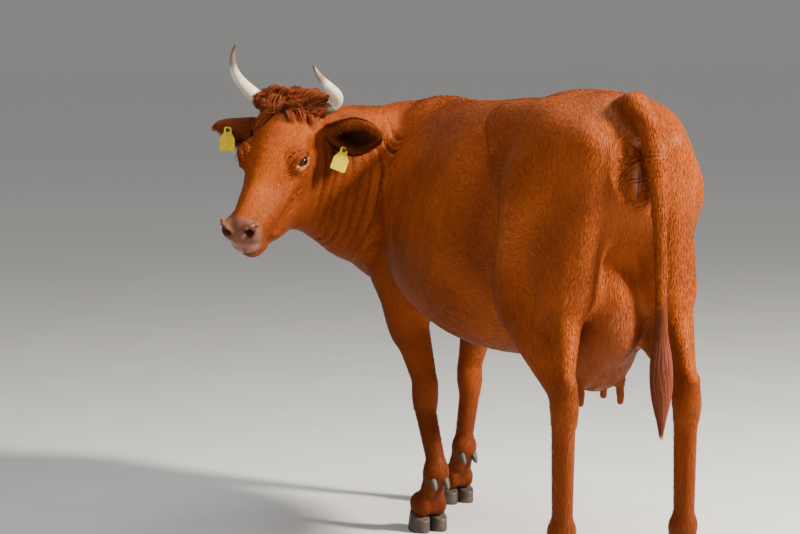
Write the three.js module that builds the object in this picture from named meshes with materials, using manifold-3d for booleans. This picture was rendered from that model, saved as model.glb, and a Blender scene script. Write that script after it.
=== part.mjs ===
// A standing cow, life size. Millimetres; the modelling axes are forward, left, up (F, L, U)
// and the finished group is turned so that the cow faces -Y with its left side at +X.
import * as THREE from 'three';
import { ConvexGeometry } from 'three/addons/geometries/ConvexGeometry.js';
import { mergeVertices } from 'three/addons/utils/BufferGeometryUtils.js';
import Module from 'manifold-3d';

const wasm = await Module();
wasm.setup();

// ---- driving sizes -------------------------------------------------------------------
const GAP = 0.3;                 // clearance between neighbouring solids
const RUMP_HEIGHT = 1302;        // top of the croup
const WITHERS_HEIGHT = 1268;
const BARREL_HALF = 308;         // greatest half width of the barrel
const BELLY_LEVEL = 560;
const HEAD_SCALE = 1.03;
const EYE_RADIUS = 18;
const HORN_BASE = 22;            // radius
const TAG = { width: 46, height: 36, neck: 26, thick: 1.8 };
// the spine bends to the left between these stations
const BEND = { start: 300, end: 1300, angle: 12 };
// grid steps of the faceted solids
const STEP = { trunk: 60, neck: 50, head: 28, leg: 29, udder: 40 };
const SIMPLER = 0.085;           // share of a step by which facets may be flattened
// how far the feet stand ahead (+) or behind (-) of the square stance
const STANCE = { foreLeft: -165, foreRight: 90, hindLeft: 0, hindRight: -25 };
const HIND_SPREAD = { left: 175, right: 145 };
const FORE_SPREAD = 145;

const COLOR = {
  coat: 0x9c4a22,
  tail: 0x6b2f1c,
  horn: 0xe4dcc6,
  hoof: 0x3b3029,
  eye: 0x120c0a,
  tag: 0xf2dc1e,
};

const rad = THREE.MathUtils.degToRad;
const vec = (f, l, u) => new THREE.Vector3(f, l, u);

// ---- the bend of the spine -----------------------------------------------------------
const bendAngle = rad(BEND.angle);
const bendRadius = (BEND.end - BEND.start) / bendAngle;

function turnAt(f) {
  const s = THREE.MathUtils.clamp(f, BEND.start, BEND.end);
  return (s - BEND.start) / bendRadius;
}

// straight-body coordinates to the bent body
function bent(p) {
  const t = turnAt(p.x);
  if (p.x <= BEND.start) return p.clone();
  const r = bendRadius - p.y;
  const past = Math.max(p.x - BEND.end, 0);
  return vec(
    BEND.start + r * Math.sin(t) + past * Math.cos(t),
    bendRadius - r * Math.cos(t) + past * Math.sin(t),
    p.z,
  );
}

// the bent body back to straight coordinates
function straight(p) {
  if (p.x <= BEND.start) return p;
  const df = p.x - BEND.start;
  const t = Math.atan2(df, bendRadius - p.y);
  if (t <= bendAngle) {
    const along = BEND.start + bendRadius * t;
    return vec(along, bendRadius - Math.hypot(df, bendRadius - p.y), p.z);
  }
  const c = Math.cos(bendAngle);
  const s = Math.sin(bendAngle);
  const ef = df - bendRadius * s;
  const el = p.y - bendRadius * (1 - c);
  return vec(BEND.end + ef * c + el * s, el * c - ef * s, p.z);
}

// ---- field primitives ----------------------------------------------------------------
// a round-ended cone from a (radius ra) to b (radius rb)
function boneDistance(a, b, ra, rb) {
  const axis = b.clone().sub(a);
  const length = axis.length();
  axis.divideScalar(length);
  const s = (ra - rb) / length;
  const c = Math.sqrt(Math.max(1 - s * s, 1e-6));
  return (p) => {
    const f = p.x - a.x;
    const l = p.y - a.y;
    const u = p.z - a.z;
    const y = f * axis.x + l * axis.y + u * axis.z;
    const x = Math.sqrt(Math.max(f * f + l * l + u * u - y * y, 0));
    const k = y * c - x * s;
    if (k < 0) return Math.hypot(x, y) - ra;
    if (k > length * c) return Math.hypot(x, y - length) - rb;
    return x * c + y * s - ra;
  };
}

// an ellipsoid; axes are the rows of its own frame
function lumpDistance(center, radii, axes) {
  return (p) => {
    const d = p.clone().sub(center);
    const q = axes.map((axis, i) => d.dot(axis) / radii[i]);
    const g = axes.map((axis, i) => q[i] / radii[i]);
    const k0 = Math.hypot(...q);
    const k1 = Math.max(Math.hypot(...g), 1e-9);
    return k0 * (k0 - 1) / k1;
  };
}

// trunk stations: f, half width, top, bottom, level of the greatest width, exponents
const TRUNK = [
  [-40, 70, RUMP_HEIGHT - 102, 1010, 1120, 2.1, 2.1],
  [60, 140, RUMP_HEIGHT - 17, 900, 1110, 2.3, 2.2],
  [200, 190, RUMP_HEIGHT, 780, 1060, 2.4, 2.2],
  [350, 215, RUMP_HEIGHT + 3, 660, 1000, 2.3, 2.2],
  [520, 250, RUMP_HEIGHT - 17, 585, 930, 2.2, 2.2],
  [720, 295, RUMP_HEIGHT - 24, BELLY_LEVEL, 890, 2.15, 2.2],
  [900, BARREL_HALF, WITHERS_HEIGHT + 2, BELLY_LEVEL + 5, 870, 2.05, 2.2],
  [1080, 285, WITHERS_HEIGHT - 2, 595, 880, 1.95, 2.2],
  [1240, 232, WITHERS_HEIGHT, 615, 900, 1.85, 2.2],
  [1400, 175, WITHERS_HEIGHT - 43, 620, 900, 1.8, 2.1],
  [1500, 110, 1150, 680, 900, 2.0, 2.0],
];

function stationSlope(i, column) {
  const t = TRUNK;
  const lo = Math.max(i - 1, 0);
  const hi = Math.min(i + 1, t.length - 1);
  if (lo === i) return (t[hi][column] - t[i][column]) / (t[hi][0] - t[i][0]);
  if (hi === i) return (t[i][column] - t[lo][column]) / (t[i][0] - t[lo][0]);
  const rise = (t[hi][column] - t[lo][column]) / 2;
  return rise / ((t[hi][0] - t[lo][0]) / 2);
}

function trunkSection(f) {
  const t = TRUNK;
  const x = THREE.MathUtils.clamp(f, t[0][0], t[t.length - 1][0]);
  let i = 0;
  while (i < t.length - 2 && x > t[i + 1][0]) i += 1;
  const dx = t[i + 1][0] - t[i][0];
  const w = (x - t[i][0]) / dx;
  const h00 = 2 * w ** 3 - 3 * w ** 2 + 1;
  const h10 = w ** 3 - 2 * w ** 2 + w;
  const h01 = 3 * w ** 2 - 2 * w ** 3;
  const h11 = w ** 3 - w ** 2;
  return t[i].map((value, c) => h00 * value + h01 * t[i + 1][c]
    + dx * (h10 * stationSlope(i, c) + h11 * stationSlope(i + 1, c)));
}

function trunkDistance(bentPoint) {
  const p = straight(bentPoint);
  const [, width, top, bottom, level, upperExp, lowerExp] = trunkSection(p.x);
  const rise = p.z - level;
  const height = rise > 0 ? top - level : level - bottom;
  const n = rise > 0 ? upperExp : lowerExp;
  const x = Math.abs(p.y) / width;
  const y = Math.abs(rise) / height;
  const rho = (x ** n + y ** n) ** (1 / n) + 1e-9;
  const slope = Math.hypot(x ** (n - 1) / width, y ** (n - 1) / height) / Math.max(rho ** (n - 1), 1e-9);
  let d = (rho - 1) / Math.max(slope, 1e-6);
  if (d < -60) d = Math.max(d, -Math.hypot(p.y, rise) - 60);
  const past = Math.max(TRUNK[0][0] - p.x, p.x - TRUNK[TRUNK.length - 1][0], 0);
  return past > 0 ? Math.hypot(Math.max(d, 0), past) : d;
}

// ---- the field: primitives blended one after another ---------------------------------
const parts = [];

function blend(distance, k) {
  parts.push({ distance, k });
}

function field(p) {
  let d = 1e4;
  for (const part of parts) {
    const e = part.distance(p);
    const h = Math.max(part.k - Math.abs(d - e), 0) / part.k;
    d = Math.min(d, e) - h * h * part.k / 4;
  }
  return d;
}

function bone(a, b, ra, rb, k) {
  blend(boneDistance(bent(a), bent(b), ra, rb), k);
}

function lump(center, radii, k) {
  const t = turnAt(center.x);
  const axes = [vec(Math.cos(t), Math.sin(t), 0), vec(-Math.sin(t), Math.cos(t), 0), vec(0, 0, 1)];
  blend(lumpDistance(bent(center), radii, axes), k);
}

const at = (p, f, l, u) => vec(p.x + f, p.y + l, p.z + u);
const between = (a, b, t) => a.clone().lerp(b, t);

// ---- hind quarter --------------------------------------------------------------------
// the flesh that widens over the two claws
function coronet(fetlock, ahead) {
  for (const inner of [1, -1]) lump(at(fetlock, ahead, inner * 26, 80 - fetlock.z), [50, 25, 40], 14);
}

function hindFoot(side) {
  const ahead = side > 0 ? STANCE.hindLeft : STANCE.hindRight;
  const out = side * (side > 0 ? HIND_SPREAD.left : HIND_SPREAD.right);
  return { ahead, hock: vec(15 + ahead, out, 520), fetlock: vec(40 + ahead, out, 190) };
}

function addHindQuarter(side) {
  const { ahead, hock, fetlock } = hindFoot(side);
  const a = ahead * 0.3;
  lump(vec(445, side * 192, 1204), [66, 40, 44], 80);
  bone(vec(400, side * 165, 1215), vec(60, side * 105, 1178), 36, 36, 90);
  lump(vec(10, side * 100, 1165), [46, 38, 44], 50);
  lump(vec(260, side * 138, 1125), [205, 80, 120], 80);
  lump(vec(215, side * 180, 1060), [75, 42, 75], 70);
  bone(vec(200, side * 140, 1030), vec(330 + a, side * 165, 810), 130, 92, 60);
  bone(vec(45, side * 105, 1100), vec(85 + a, side * 128, 800), 74, 66, 60);
  lump(vec(355 + a, side * 185, 765), [56, 44, 72], 50);
  lump(vec(170, side * 150, 860), [125, 66, 150], 50);
  bone(vec(270 + a, side * 172, 750), at(hock, 38, 0, 45), 98, 40, 50);
  bone(vec(100 + a, side * 140, 780), at(hock, -20, 0, 62), 52, 17, 50);
  lump(at(hock, 4, 0, -5), [50, 36, 64], 22);
  bone(at(hock, -34, 0, 52), at(hock, -14, 0, -40), 22, 25, 18);
  bone(at(hock, 8, 0, -55), at(fetlock, -4, 0, 30), 32, 28, 18);
  bone(at(hock, -18, 0, -60), at(fetlock, -24, 0, 30), 18, 18, 14);
  lump(fetlock, [38, 37, 38], 20);
  bone(fetlock, at(fetlock, 50, 0, -105), 32, 37, 16);
  coronet(fetlock, 60);
}

// ---- fore quarter --------------------------------------------------------------------
function foreFoot(side) {
  const ahead = side > 0 ? STANCE.foreLeft : STANCE.foreRight;
  const out = side * FORE_SPREAD;
  const elbow = vec(1290 + ahead * 0.12, side * 168, 745);
  const knee = vec(1300 + ahead, out, 400);
  return { elbow, knee, fetlock: vec(1300 + ahead * 1.42, out, 185) };
}

function addForeQuarter(side) {
  const { elbow, knee, fetlock } = foreFoot(side);
  bone(vec(1255, side * 65, 1185), vec(1410, side * 150, 950), 60, 82, 70);
  lump(vec(1300, side * 165, 890), [135, 58, 140], 50);
  lump(vec(1435, side * 145, 880), [60, 50, 75], 70);
  bone(vec(1440, side * 150, 880), elbow, 70, 56, 50);
  bone(at(elbow, 0, 0, 5), at(knee, 0, 0, 42), 72, 38, 45);
  lump(at(between(elbow, knee, 0.3), 12, side * 8, 0), [58, 38, 105], 40);
  lump(knee, [43, 40, 58], 20);
  bone(at(knee, 0, 0, -40), at(fetlock, 0, 0, 30), 33, 29, 16);
  lump(fetlock, [39, 38, 39], 18);
  bone(fetlock, at(fetlock, 44, 0, -98), 33, 38, 16);
  coronet(fetlock, 56);
}

// ---- head frame: a runs down the face, b to the cow's left, c out of the forehead -----
const HEAD = { poll: vec(1214.6, 579.1, 1284.1), yaw: 134.9, pitch: 45.8, roll: -5.1 };

function headAxes() {
  const yaw = rad(HEAD.yaw);
  const pitch = rad(HEAD.pitch);
  const roll = rad(HEAD.roll);
  const a = vec(Math.cos(yaw) * Math.cos(pitch), Math.sin(yaw) * Math.cos(pitch), -Math.sin(pitch));
  const level = vec(-Math.sin(yaw), Math.cos(yaw), 0);
  const top = a.clone().cross(level);
  const b = level.clone().multiplyScalar(Math.cos(roll)).addScaledVector(top, Math.sin(roll));
  const c = top.clone().multiplyScalar(Math.cos(roll)).addScaledVector(level, -Math.sin(roll));
  return [a, b, c];
}

const [HA, HB, HC] = headAxes();

function onHead(a, b, c) {
  return HEAD.poll.clone()
    .addScaledVector(HA, a * HEAD_SCALE)
    .addScaledVector(HB, b * HEAD_SCALE)
    .addScaledVector(HC, c * HEAD_SCALE);
}

function headBone(a, b, ra, rb, k) {
  blend(boneDistance(onHead(...a), onHead(...b), ra * HEAD_SCALE, rb * HEAD_SCALE), k);
}

function headLump(center, radii, k) {
  blend(lumpDistance(onHead(...center), radii.map((r) => r * HEAD_SCALE), [HA, HB, HC]), k);
}

// ---- neck: strands along an arc from the withers to the poll ---------------------------
function neckPoint(t) {
  const start = bent(vec(1235, 0, 0));
  const end = vec(HEAD.poll.x, HEAD.poll.y, 0);
  const leave = vec(Math.cos(bendAngle), Math.sin(bendAngle), 0);
  const arrive = vec(Math.cos(rad(118)), Math.sin(rad(118)), 0);
  const curve = new THREE.CubicBezierCurve3(
    start,
    start.clone().addScaledVector(leave, 270),
    end.clone().addScaledVector(arrive, -230),
    end,
  );
  const p = curve.getPoint(Math.min(t, 1));
  return t > 1 ? p.addScaledVector(arrive, (t - 1) * 500) : p;
}

function strand(stations, levels, radii, k) {
  const points = stations.map((t, i) => neckPoint(t).setZ(levels[i]));
  for (let i = 0; i < points.length - 1; i += 1) {
    blend(boneDistance(points[i], points[i + 1], radii[i], radii[i + 1]), k);
  }
}

function addNeck() {
  strand([0.08, 0.35, 0.62, 0.92], [1172, 1168, 1165, 1190], [82, 70, 62, 60], 70);
  strand([0.1, 0.35, 0.62, 0.9], [1050, 1060, 1085, 1115], [150, 128, 110, 94], 90);
  strand([0.16, 0.4, 0.66, 0.9], [900, 930, 970, 1015], [138, 118, 98, 78], 90);
  strand([0.2, 0.45, 0.7, 0.95], [770, 815, 875, 935], [92, 72, 58, 46], 70);
}

function addHead() {
  headLump([95, 0, -62], [120, 90, 68], 25);
  headBone([6, -62, -34], [6, 62, -34], 34, 34, 25);
  headLump([165, 0, -45], [130, 84, 47], 25);
  headBone([160, 0, -85], [395, 0, -88], 70, 50, 30);
  headBone([190, 0, -36], [430, 0, -52], 24, 27, 30);
  for (const side of [1, -1]) {
    headLump([186, side * 80, -50], [48, 30, 36], 22);
    headBone([205, side * 42, -100], [365, side * 32, -98], 40, 30, 30);
    headLump([155, side * 56, -138], [92, 27, 88], 30);
    headBone([108, side * 50, -196], [395, side * 18, -154], 28, 22, 26);
    headLump([446, side * 34, -60], [28, 25, 30], 14);
    headBone([15, side * 80, -32], [12, side * 101, -28], 24, 22, 12);
    headBone([52, side * 98, -84], [56, side * 122, -86], 26, 20, 16);
  }
  headLump([424, 0, -82], [56, 59, 52], 20);
  headLump([438, 0, -118], [42, 54, 26], 16);
  headLump([422, 0, -152], [46, 42, 24], 7);
  headLump([205, 0, -205], [150, 44, 62], 40);
  for (const side of [1, -1]) headLump([300, side * 38, -140], [100, 22, 60], 24);
  headLump([30, 0, -90], [70, 82, 85], 30);
}

function addTrunk() {
  blend(trunkDistance, 40);
  for (const side of [1, -1]) {
    addHindQuarter(side);
    addForeQuarter(side);
  }
  lump(vec(280, 0, 640), [140, 112, 130], 45);
  lump(vec(140, 0, 740), [80, 78, 140], 50);
  lump(vec(1400, 0, 715), [140, 90, 105], 90);
}

addTrunk();
addNeck();
addHead();

// ---- meshing: surface nets, then the vertices are drawn onto the field -----------------
function gradient(f, p) {
  const e = 1.5;
  return vec(
    f(at(p, e, 0, 0)) - f(at(p, -e, 0, 0)),
    f(at(p, 0, e, 0)) - f(at(p, 0, -e, 0)),
    f(at(p, 0, 0, e)) - f(at(p, 0, 0, -e)),
  ).divideScalar(2 * e);
}

const CORNERS = [0, 1, 2, 3, 4, 5, 6, 7].map((n) => [n & 1, (n >> 1) & 1, (n >> 2) & 1]);
const EDGES = CORNERS.flatMap((c, i) => [1, 2, 4].filter((bit) => !(i & bit)).map((bit) => [i, i | bit]));
const EDGE_ID = new Map(EDGES.map(([a, b], n) => [a * 8 + b, n]));
// each face of a cell as its four edges
const FACES = [1, 2, 4].flatMap((bit) => [0, bit].map((fixed) => (
  EDGES.flatMap(([a, b], n) => ((a & bit) === fixed && (b & bit) === fixed ? [n] : []))
)));

// groups the crossed edges of a cell into sheets of surface; one vertex is made for each
function sheetsOf(v) {
  const crossed = EDGES.map(([a, b]) => (v[a] < 0) !== (v[b] < 0));
  const group = EDGES.map((_, n) => n);
  const join = (a, b) => {
    const [keep, drop] = [group[a], group[b]];
    group.forEach((g, n) => { if (g === drop) group[n] = keep; });
  };
  for (const face of FACES) {
    const hit = face.filter((n) => crossed[n]);
    if (hit.length === 2) join(hit[0], hit[1]);
    if (hit.length !== 4) continue;
    for (const corner of new Set(hit.flatMap((n) => EDGES[n]))) {
      const touching = hit.filter((n) => EDGES[n].includes(corner));
      if (v[corner] < 0) join(touching[0], touching[1]);
    }
  }
  return { crossed, group };
}

function netMesh(f, lo, hi, step, limit = () => -1e4) {
  const n = [hi.x - lo.x, hi.y - lo.y, hi.z - lo.z].map((s) => Math.ceil(s / step) + 1);
  const index = (i, j, k) => (i * n[1] + j) * n[2] + k;
  const value = new Float64Array(n[0] * n[1] * n[2]);
  for (let i = 0; i < n[0]; i += 1) {
    for (let j = 0; j < n[1]; j += 1) {
      for (let k = 0; k < n[2]; k += 1) {
        const p = vec(lo.x + i * step, lo.y + j * step, lo.z + k * step);
        const rim = i * j * k === 0 || i === n[0] - 1 || j === n[1] - 1 || k === n[2] - 1;
        value[index(i, j, k)] = rim ? step : Math.max(f(p), limit(p));
      }
    }
  }
  const vertexOf = new Map();
  const points = [];
  for (let i = 0; i < n[0] - 1; i += 1) {
    for (let j = 0; j < n[1] - 1; j += 1) {
      for (let k = 0; k < n[2] - 1; k += 1) {
        const v = CORNERS.map(([a, b, c]) => value[index(i + a, j + b, k + c)]);
        if (v.every((x) => x < 0) || v.every((x) => x >= 0)) continue;
        const { crossed, group } = sheetsOf(v);
        const ids = EDGES.map(() => -1);
        for (const sheet of new Set(group.filter((_, e) => crossed[e]))) {
          const edges = EDGES.map((_, e) => e).filter((e) => crossed[e] && group[e] === sheet);
          const sum = vec(0, 0, 0);
          for (const e of edges) {
            const [a, b] = EDGES[e];
            const t = v[a] / (v[a] - v[b]);
            sum.add(vec(...CORNERS[a]).lerp(vec(...CORNERS[b]), t));
            ids[e] = points.length;
          }
          sum.divideScalar(edges.length);
          points.push(vec(lo.x + (i + sum.x) * step, lo.y + (j + sum.y) * step, lo.z + (k + sum.z) * step));
        }
        vertexOf.set(index(i, j, k), ids);
      }
    }
  }
  for (let pass = 0; pass < 2; pass += 1) {
    for (const p of points) {
      const d = f(p);
      if (limit(p) > -0.6 * step || Math.abs(d) > step) continue;
      const g = gradient(f, p);
      p.addScaledVector(g, -d / Math.max(g.lengthSq(), 0.25));
    }
  }
  const faces = [];
  const quad = (a, b, c, d, flip) => {
    const [p, q, r, s] = flip ? [d, c, b, a] : [a, b, c, d];
    const near = points[p].distanceToSquared(points[r]) < points[q].distanceToSquared(points[s]);
    if (near) faces.push(p, q, r, p, r, s);
    else faces.push(q, r, s, q, s, p);
  };
  for (let i = 0; i < n[0] - 1; i += 1) {
    for (let j = 0; j < n[1] - 1; j += 1) {
      for (let k = 0; k < n[2] - 1; k += 1) {
        const here = value[index(i, j, k)] < 0;
        // the vertex a neighbouring cell (a, b, c back) gives the grid edge along one axis
        const cell = (a, b, c, axis) => {
          const low = a + 2 * b + 4 * c;
          return vertexOf.get(index(i - a, j - b, k - c))[EDGE_ID.get(low * 8 + (low | axis))];
        };
        if (j * k > 0 && here !== value[index(i + 1, j, k)] < 0) {
          quad(cell(0, 1, 1, 1), cell(0, 0, 1, 1), cell(0, 0, 0, 1), cell(0, 1, 0, 1), !here);
        }
        if (i * k > 0 && here !== value[index(i, j + 1, k)] < 0) {
          quad(cell(1, 0, 1, 2), cell(1, 0, 0, 2), cell(0, 0, 0, 2), cell(0, 0, 1, 2), !here);
        }
        if (i * j > 0 && here !== value[index(i, j, k + 1)] < 0) {
          quad(cell(1, 1, 0, 4), cell(0, 1, 0, 4), cell(0, 0, 0, 4), cell(1, 0, 0, 4), !here);
        }
      }
    }
  }
  return { points, faces };
}

// ---- solids --------------------------------------------------------------------------
function solidOf(points, faces) {
  const mesh = new wasm.Mesh({
    numProp: 3,
    vertProperties: new Float32Array(points.flatMap((p) => [p.x, p.y, p.z])),
    triVerts: new Uint32Array(faces),
  });
  return new wasm.Manifold(mesh);
}

// the same net with its surface moved outwards, for cutting a mating face with the gap
function grownSolid(net, f, amount) {
  const points = net.points.map((p) => p.clone().addScaledVector(gradient(f, p).normalize(), amount));
  return solidOf(points, net.faces);
}

function geometrySolid(geometry) {
  const bare = new THREE.BufferGeometry();
  bare.setAttribute('position', geometry.getAttribute('position').clone());
  if (geometry.index) bare.setIndex(geometry.index.clone());
  const merged = mergeVertices(bare, 1e-3);
  const position = merged.getAttribute('position');
  const points = [];
  for (let i = 0; i < position.count; i += 1) {
    points.push(vec(position.getX(i), position.getY(i), position.getZ(i)));
  }
  const faces = [];
  for (let i = 0; i < merged.index.count; i += 3) {
    const [a, b, c] = [0, 1, 2].map((n) => merged.index.getX(i + n));
    if (a !== b && b !== c && a !== c) faces.push(a, b, c);
  }
  const solid = solidOf(points, faces);
  return solid;
}

function largest(solid) {
  const pieces = solid.decompose();
  return pieces.reduce((best, piece) => (piece.volume() > best.volume() ? piece : best));
}

const block = (points) => geometrySolid(new ConvexGeometry(points));

// keeps what lies on the side a plane's normal points to
function keepBeyond(solid, normal, point, margin) {
  return solid.trimByPlane([normal.x, normal.y, normal.z], normal.dot(point) + margin);
}

// ---- where the flesh is parted ---------------------------------------------------------
const NECK_PLANE = {
  normal: vec(0.96 * Math.cos(bendAngle), 0.96 * Math.sin(bendAngle), 0.28).normalize(),
  point: bent(vec(1372, 0, 985)),
};
const HEAD_PLANE = {
  normal: vec(0, 0, 0).addScaledVector(HA, 0.925).addScaledVector(HC, 0.378).normalize(),
  point: onHead(8, 0, -110),
};
// the trunk ends at the neck plane in front and at this distance to the left, where the
// neck swings back past the shoulder
const NECK_SIDE = 372;
const reverse = (plane) => ({ normal: plane.normal.clone().negate(), point: plane.point });
const beyond = (plane, p) => p.clone().sub(plane.point).dot(plane.normal);

// how deep a point lies in the room of the trunk
const trunkDepth = (p) => Math.min(NECK_SIDE - p.y, -beyond(NECK_PLANE, p));

function trunkRoom(g) {
  const { normal, point } = NECK_PLANE;
  const front = (l, u) => point.x - ((l - point.y) * normal.y + (u - point.z) * normal.z) / normal.x + g;
  const corners = [1450, -80].flatMap((u) => [-460, NECK_SIDE + g].flatMap((l) => (
    [vec(-260, l, u), vec(front(l, u), l, u)]
  )));
  return block(corners);
}

const HIND_TOP = 790;
const HIND_SPLIT = 560;
const innerThigh = (u) => 62 + (HIND_TOP - u) * 0.26;

// wedge between two levels; each level gives back, front, inner and outer limits
function levelWedge(side, levels, map = (p) => p) {
  const corners = levels.flatMap(({ u, back, front, inner, outer }) => (
    [[back, inner], [back, outer], [front, inner], [front, outer]].map(([f, l]) => map(vec(f, side * l, u)))
  ));
  return block(corners);
}

function hindWedge(side, g) {
  const upper = levelWedge(side, [
    { u: HIND_TOP + g, back: -160, front: 455 + g, inner: innerThigh(HIND_TOP) - g, outer: 460 },
    { u: HIND_SPLIT - 1, back: -160, front: 400 + g, inner: innerThigh(HIND_SPLIT) - g, outer: 460 },
  ]);
  const lower = levelWedge(side, [
    { u: HIND_SPLIT, back: -160, front: 400 + g, inner: innerThigh(HIND_SPLIT) - g, outer: 460 },
    { u: -60, back: -160, front: 400 + g, inner: 60 - g, outer: 460 },
  ]);
  return upper.add(lower);
}

function foreWedge(side, g) {
  const { elbow, fetlock } = foreFoot(side);
  return levelWedge(side, [
    { u: 752 + g, back: elbow.x - 125 - g, front: elbow.x + 135 + g, inner: 118 - g, outer: 330 },
    { u: 480, back: elbow.x - 190 - g, front: elbow.x + 190 + g, inner: 16.5 - g, outer: 330 },
    { u: -60, back: fetlock.x - 150 - g, front: fetlock.x + 240 + g, inner: -30 - g, outer: 330 },
  ], bent);
}

function udderWedge(g) {
  const points = [];
  for (const side of [1, -1]) {
    for (const f of [58 - g, 442 + g]) {
      points.push(vec(f, side * (innerThigh(690) - 2 * GAP + g), 690 + g));
      points.push(vec(f, side * (innerThigh(430) - 2 * GAP + g), 430));
    }
  }
  return block(points);
}

// ---- nets of the regions ---------------------------------------------------------------
// every edge is used once each way
function isClosed(faces) {
  const used = new Set();
  for (let i = 0; i < faces.length; i += 3) {
    for (let e = 0; e < 3; e += 1) {
      const key = faces[i + e] * 1e6 + faces[i + (e + 1) % 3];
      if (used.has(key)) return false;
      used.add(key);
    }
  }
  return true;
}

// a grid can fall awkwardly on a thin place: it's then moved by part of a step
function regionNet(lo, hi, step, planes = [], leftOut = () => -1e4) {
  const limit = (p) => Math.max(leftOut(p), ...planes.map((plane) => -beyond(plane, p) - 1.2 * step));
  for (let tries = 0; tries < 12; tries += 1) {
    const shift = step * 0.27 * tries;
    const net = netMesh(field, at(lo, -(shift % step), -((shift * 1.7) % step), -((shift * 2.3) % step)), hi, step, limit);
    if (isClosed(net.faces)) return simpler(net, step * SIMPLER);
  }
  throw new Error('no closed net');
}

// nearly flat neighbouring facets become one
function simpler(net, tolerance) {
  const { vertProperties, triVerts } = solidOf(net.points, net.faces).simplify(tolerance).getMesh();
  const points = [];
  for (let i = 0; i < vertProperties.length; i += 3) points.push(vec(...vertProperties.slice(i, i + 3)));
  return { points, faces: Array.from(triVerts) };
}

// legs and udder below the trunk, all inside the wedges that part them from it
const belowTrunk = (p) => Math.max(538 - p.z, Math.min(640 - p.z, 400 - p.x));

const netSolid = (net) => solidOf(net.points, net.faces);

const trunkNet = regionNet(vec(-190, -420, 470), vec(1640, 500, 1420), STEP.trunk, [], (p) => (
  Math.max(belowTrunk(p), -trunkDepth(p) - 1.2 * STEP.trunk)
));
const neckNet = regionNet(vec(1120, -140, 540), vec(1720, 800, 1400), STEP.neck, [reverse(HEAD_PLANE)], (p) => (
  trunkDepth(p) - 1.2 * STEP.neck
));
const headNet = regionNet(vec(800, 380, 760), vec(1460, 960, 1400), STEP.head, [HEAD_PLANE]);

// ---- feet ------------------------------------------------------------------------------
const CORONET = { heel: 36, toe: 74, length: 118 };

function footOf(side, end) {
  const { fetlock } = end === 'fore' ? foreFoot(side) : hindFoot(side);
  const reach = end === 'fore' ? 60 : 64;
  const turn = turnAt(fetlock.x);
  return { center: bent(at(fetlock, reach, 0, -fetlock.z)), turn, fetlock };
}

function coronetPlane(foot) {
  const slope = Math.atan2(CORONET.toe - CORONET.heel, CORONET.length);
  const forward = vec(Math.cos(foot.turn), Math.sin(foot.turn), 0);
  const normal = forward.multiplyScalar(-Math.sin(slope)).add(vec(0, 0, Math.cos(slope)));
  return { normal, point: at(foot.center, 0, 0, (CORONET.toe + CORONET.heel) / 2) };
}

// one claw: rings from the flat sole up past the coronet, drawn back and in as they rise
function clawSolid(foot, inner) {
  const rings = 3;
  const around = 12;
  const height = 96;
  const points = [];
  for (let r = 0; r <= rings; r += 1) {
    const v = r / rings;
    const toe = 74 - 46 * v;
    const heel = -46 - 6 * v;
    const half = 26.5 - 3.5 * v;
    for (let s = 0; s < around; s += 1) {
      const t = (s / around) * 2 * Math.PI;
      const x = Math.cos(t);
      const taper = 1 - 0.3 * Math.max(x, 0) ** 2;
      const f = x > 0 ? x * toe : -x * heel;
      const lean = inner * 4 * Math.max(x, 0) * (1 - v);
      points.push(vec(f, inner * 28 + Math.sin(t) * half * taper - lean, v * height));
    }
  }
  const faces = [];
  for (let r = 0; r < rings; r += 1) {
    for (let s = 0; s < around; s += 1) {
      const a = r * around + s;
      const b = r * around + (s + 1) % around;
      faces.push(a, b, b + around, a, b + around, a + around);
    }
  }
  const top = rings * around;
  for (let s = 1; s < around - 1; s += 1) {
    faces.push(0, s + 1, s);
    faces.push(top, top + s, top + s + 1);
  }
  const turned = points.map((p) => p.applyAxisAngle(vec(0, 0, 1), foot.turn).add(foot.center));
  const plane = coronetPlane(foot);
  return keepBeyond(solidOf(turned, faces), plane.normal.clone().negate(), plane.point, GAP / 2);
}

function dewclawSolid(foot, inner) {
  const shape = new THREE.SphereGeometry(1, 7, 5);
  shape.scale(12, 11, 19);
  shape.rotateY(0.35);
  shape.translate(-34, inner * 20, -32);
  shape.rotateZ(foot.turn);
  const p = bent(foot.fetlock);
  shape.translate(p.x, p.y, p.z);
  return geometrySolid(shape);
}

function legSet(side, end) {
  const name = `${end === 'fore' ? 'front' : 'hind'}_${side > 0 ? 'left' : 'right'}`;
  const foot = footOf(side, end);
  const c = foot.center;
  const isFore = end === 'fore';
  const lo = vec(isFore ? c.x - 330 : -170, isFore ? c.y - 150 : (side > 0 ? 30 : -430), -40);
  const hi = vec(isFore ? c.x + 390 : 520, isFore ? c.y + 175 : (side > 0 ? 430 : -30), isFore ? 800 : 840);
  const net = regionNet(lo, hi, STEP.leg);
  const wedge = isFore ? foreWedge(side, 0) : hindWedge(side, 0);
  const plane = coronetPlane(foot);
  let leg = netSolid(net).intersect(wedge);
  leg = keepBeyond(leg, plane.normal, plane.point, GAP / 2);
  const out = { [`leg_${name}`]: leg };
  const grown = grownSolid(net, field, GAP);
  for (const inner of [1, -1]) {
    const which = inner * side > 0 ? 'outer' : 'inner';
    out[`claw_${name}_${which}`] = clawSolid(foot, inner);
    out[`dewclaw_${name}_${which}`] = dewclawSolid(foot, inner).subtract(grown);
  }
  return out;
}

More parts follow.
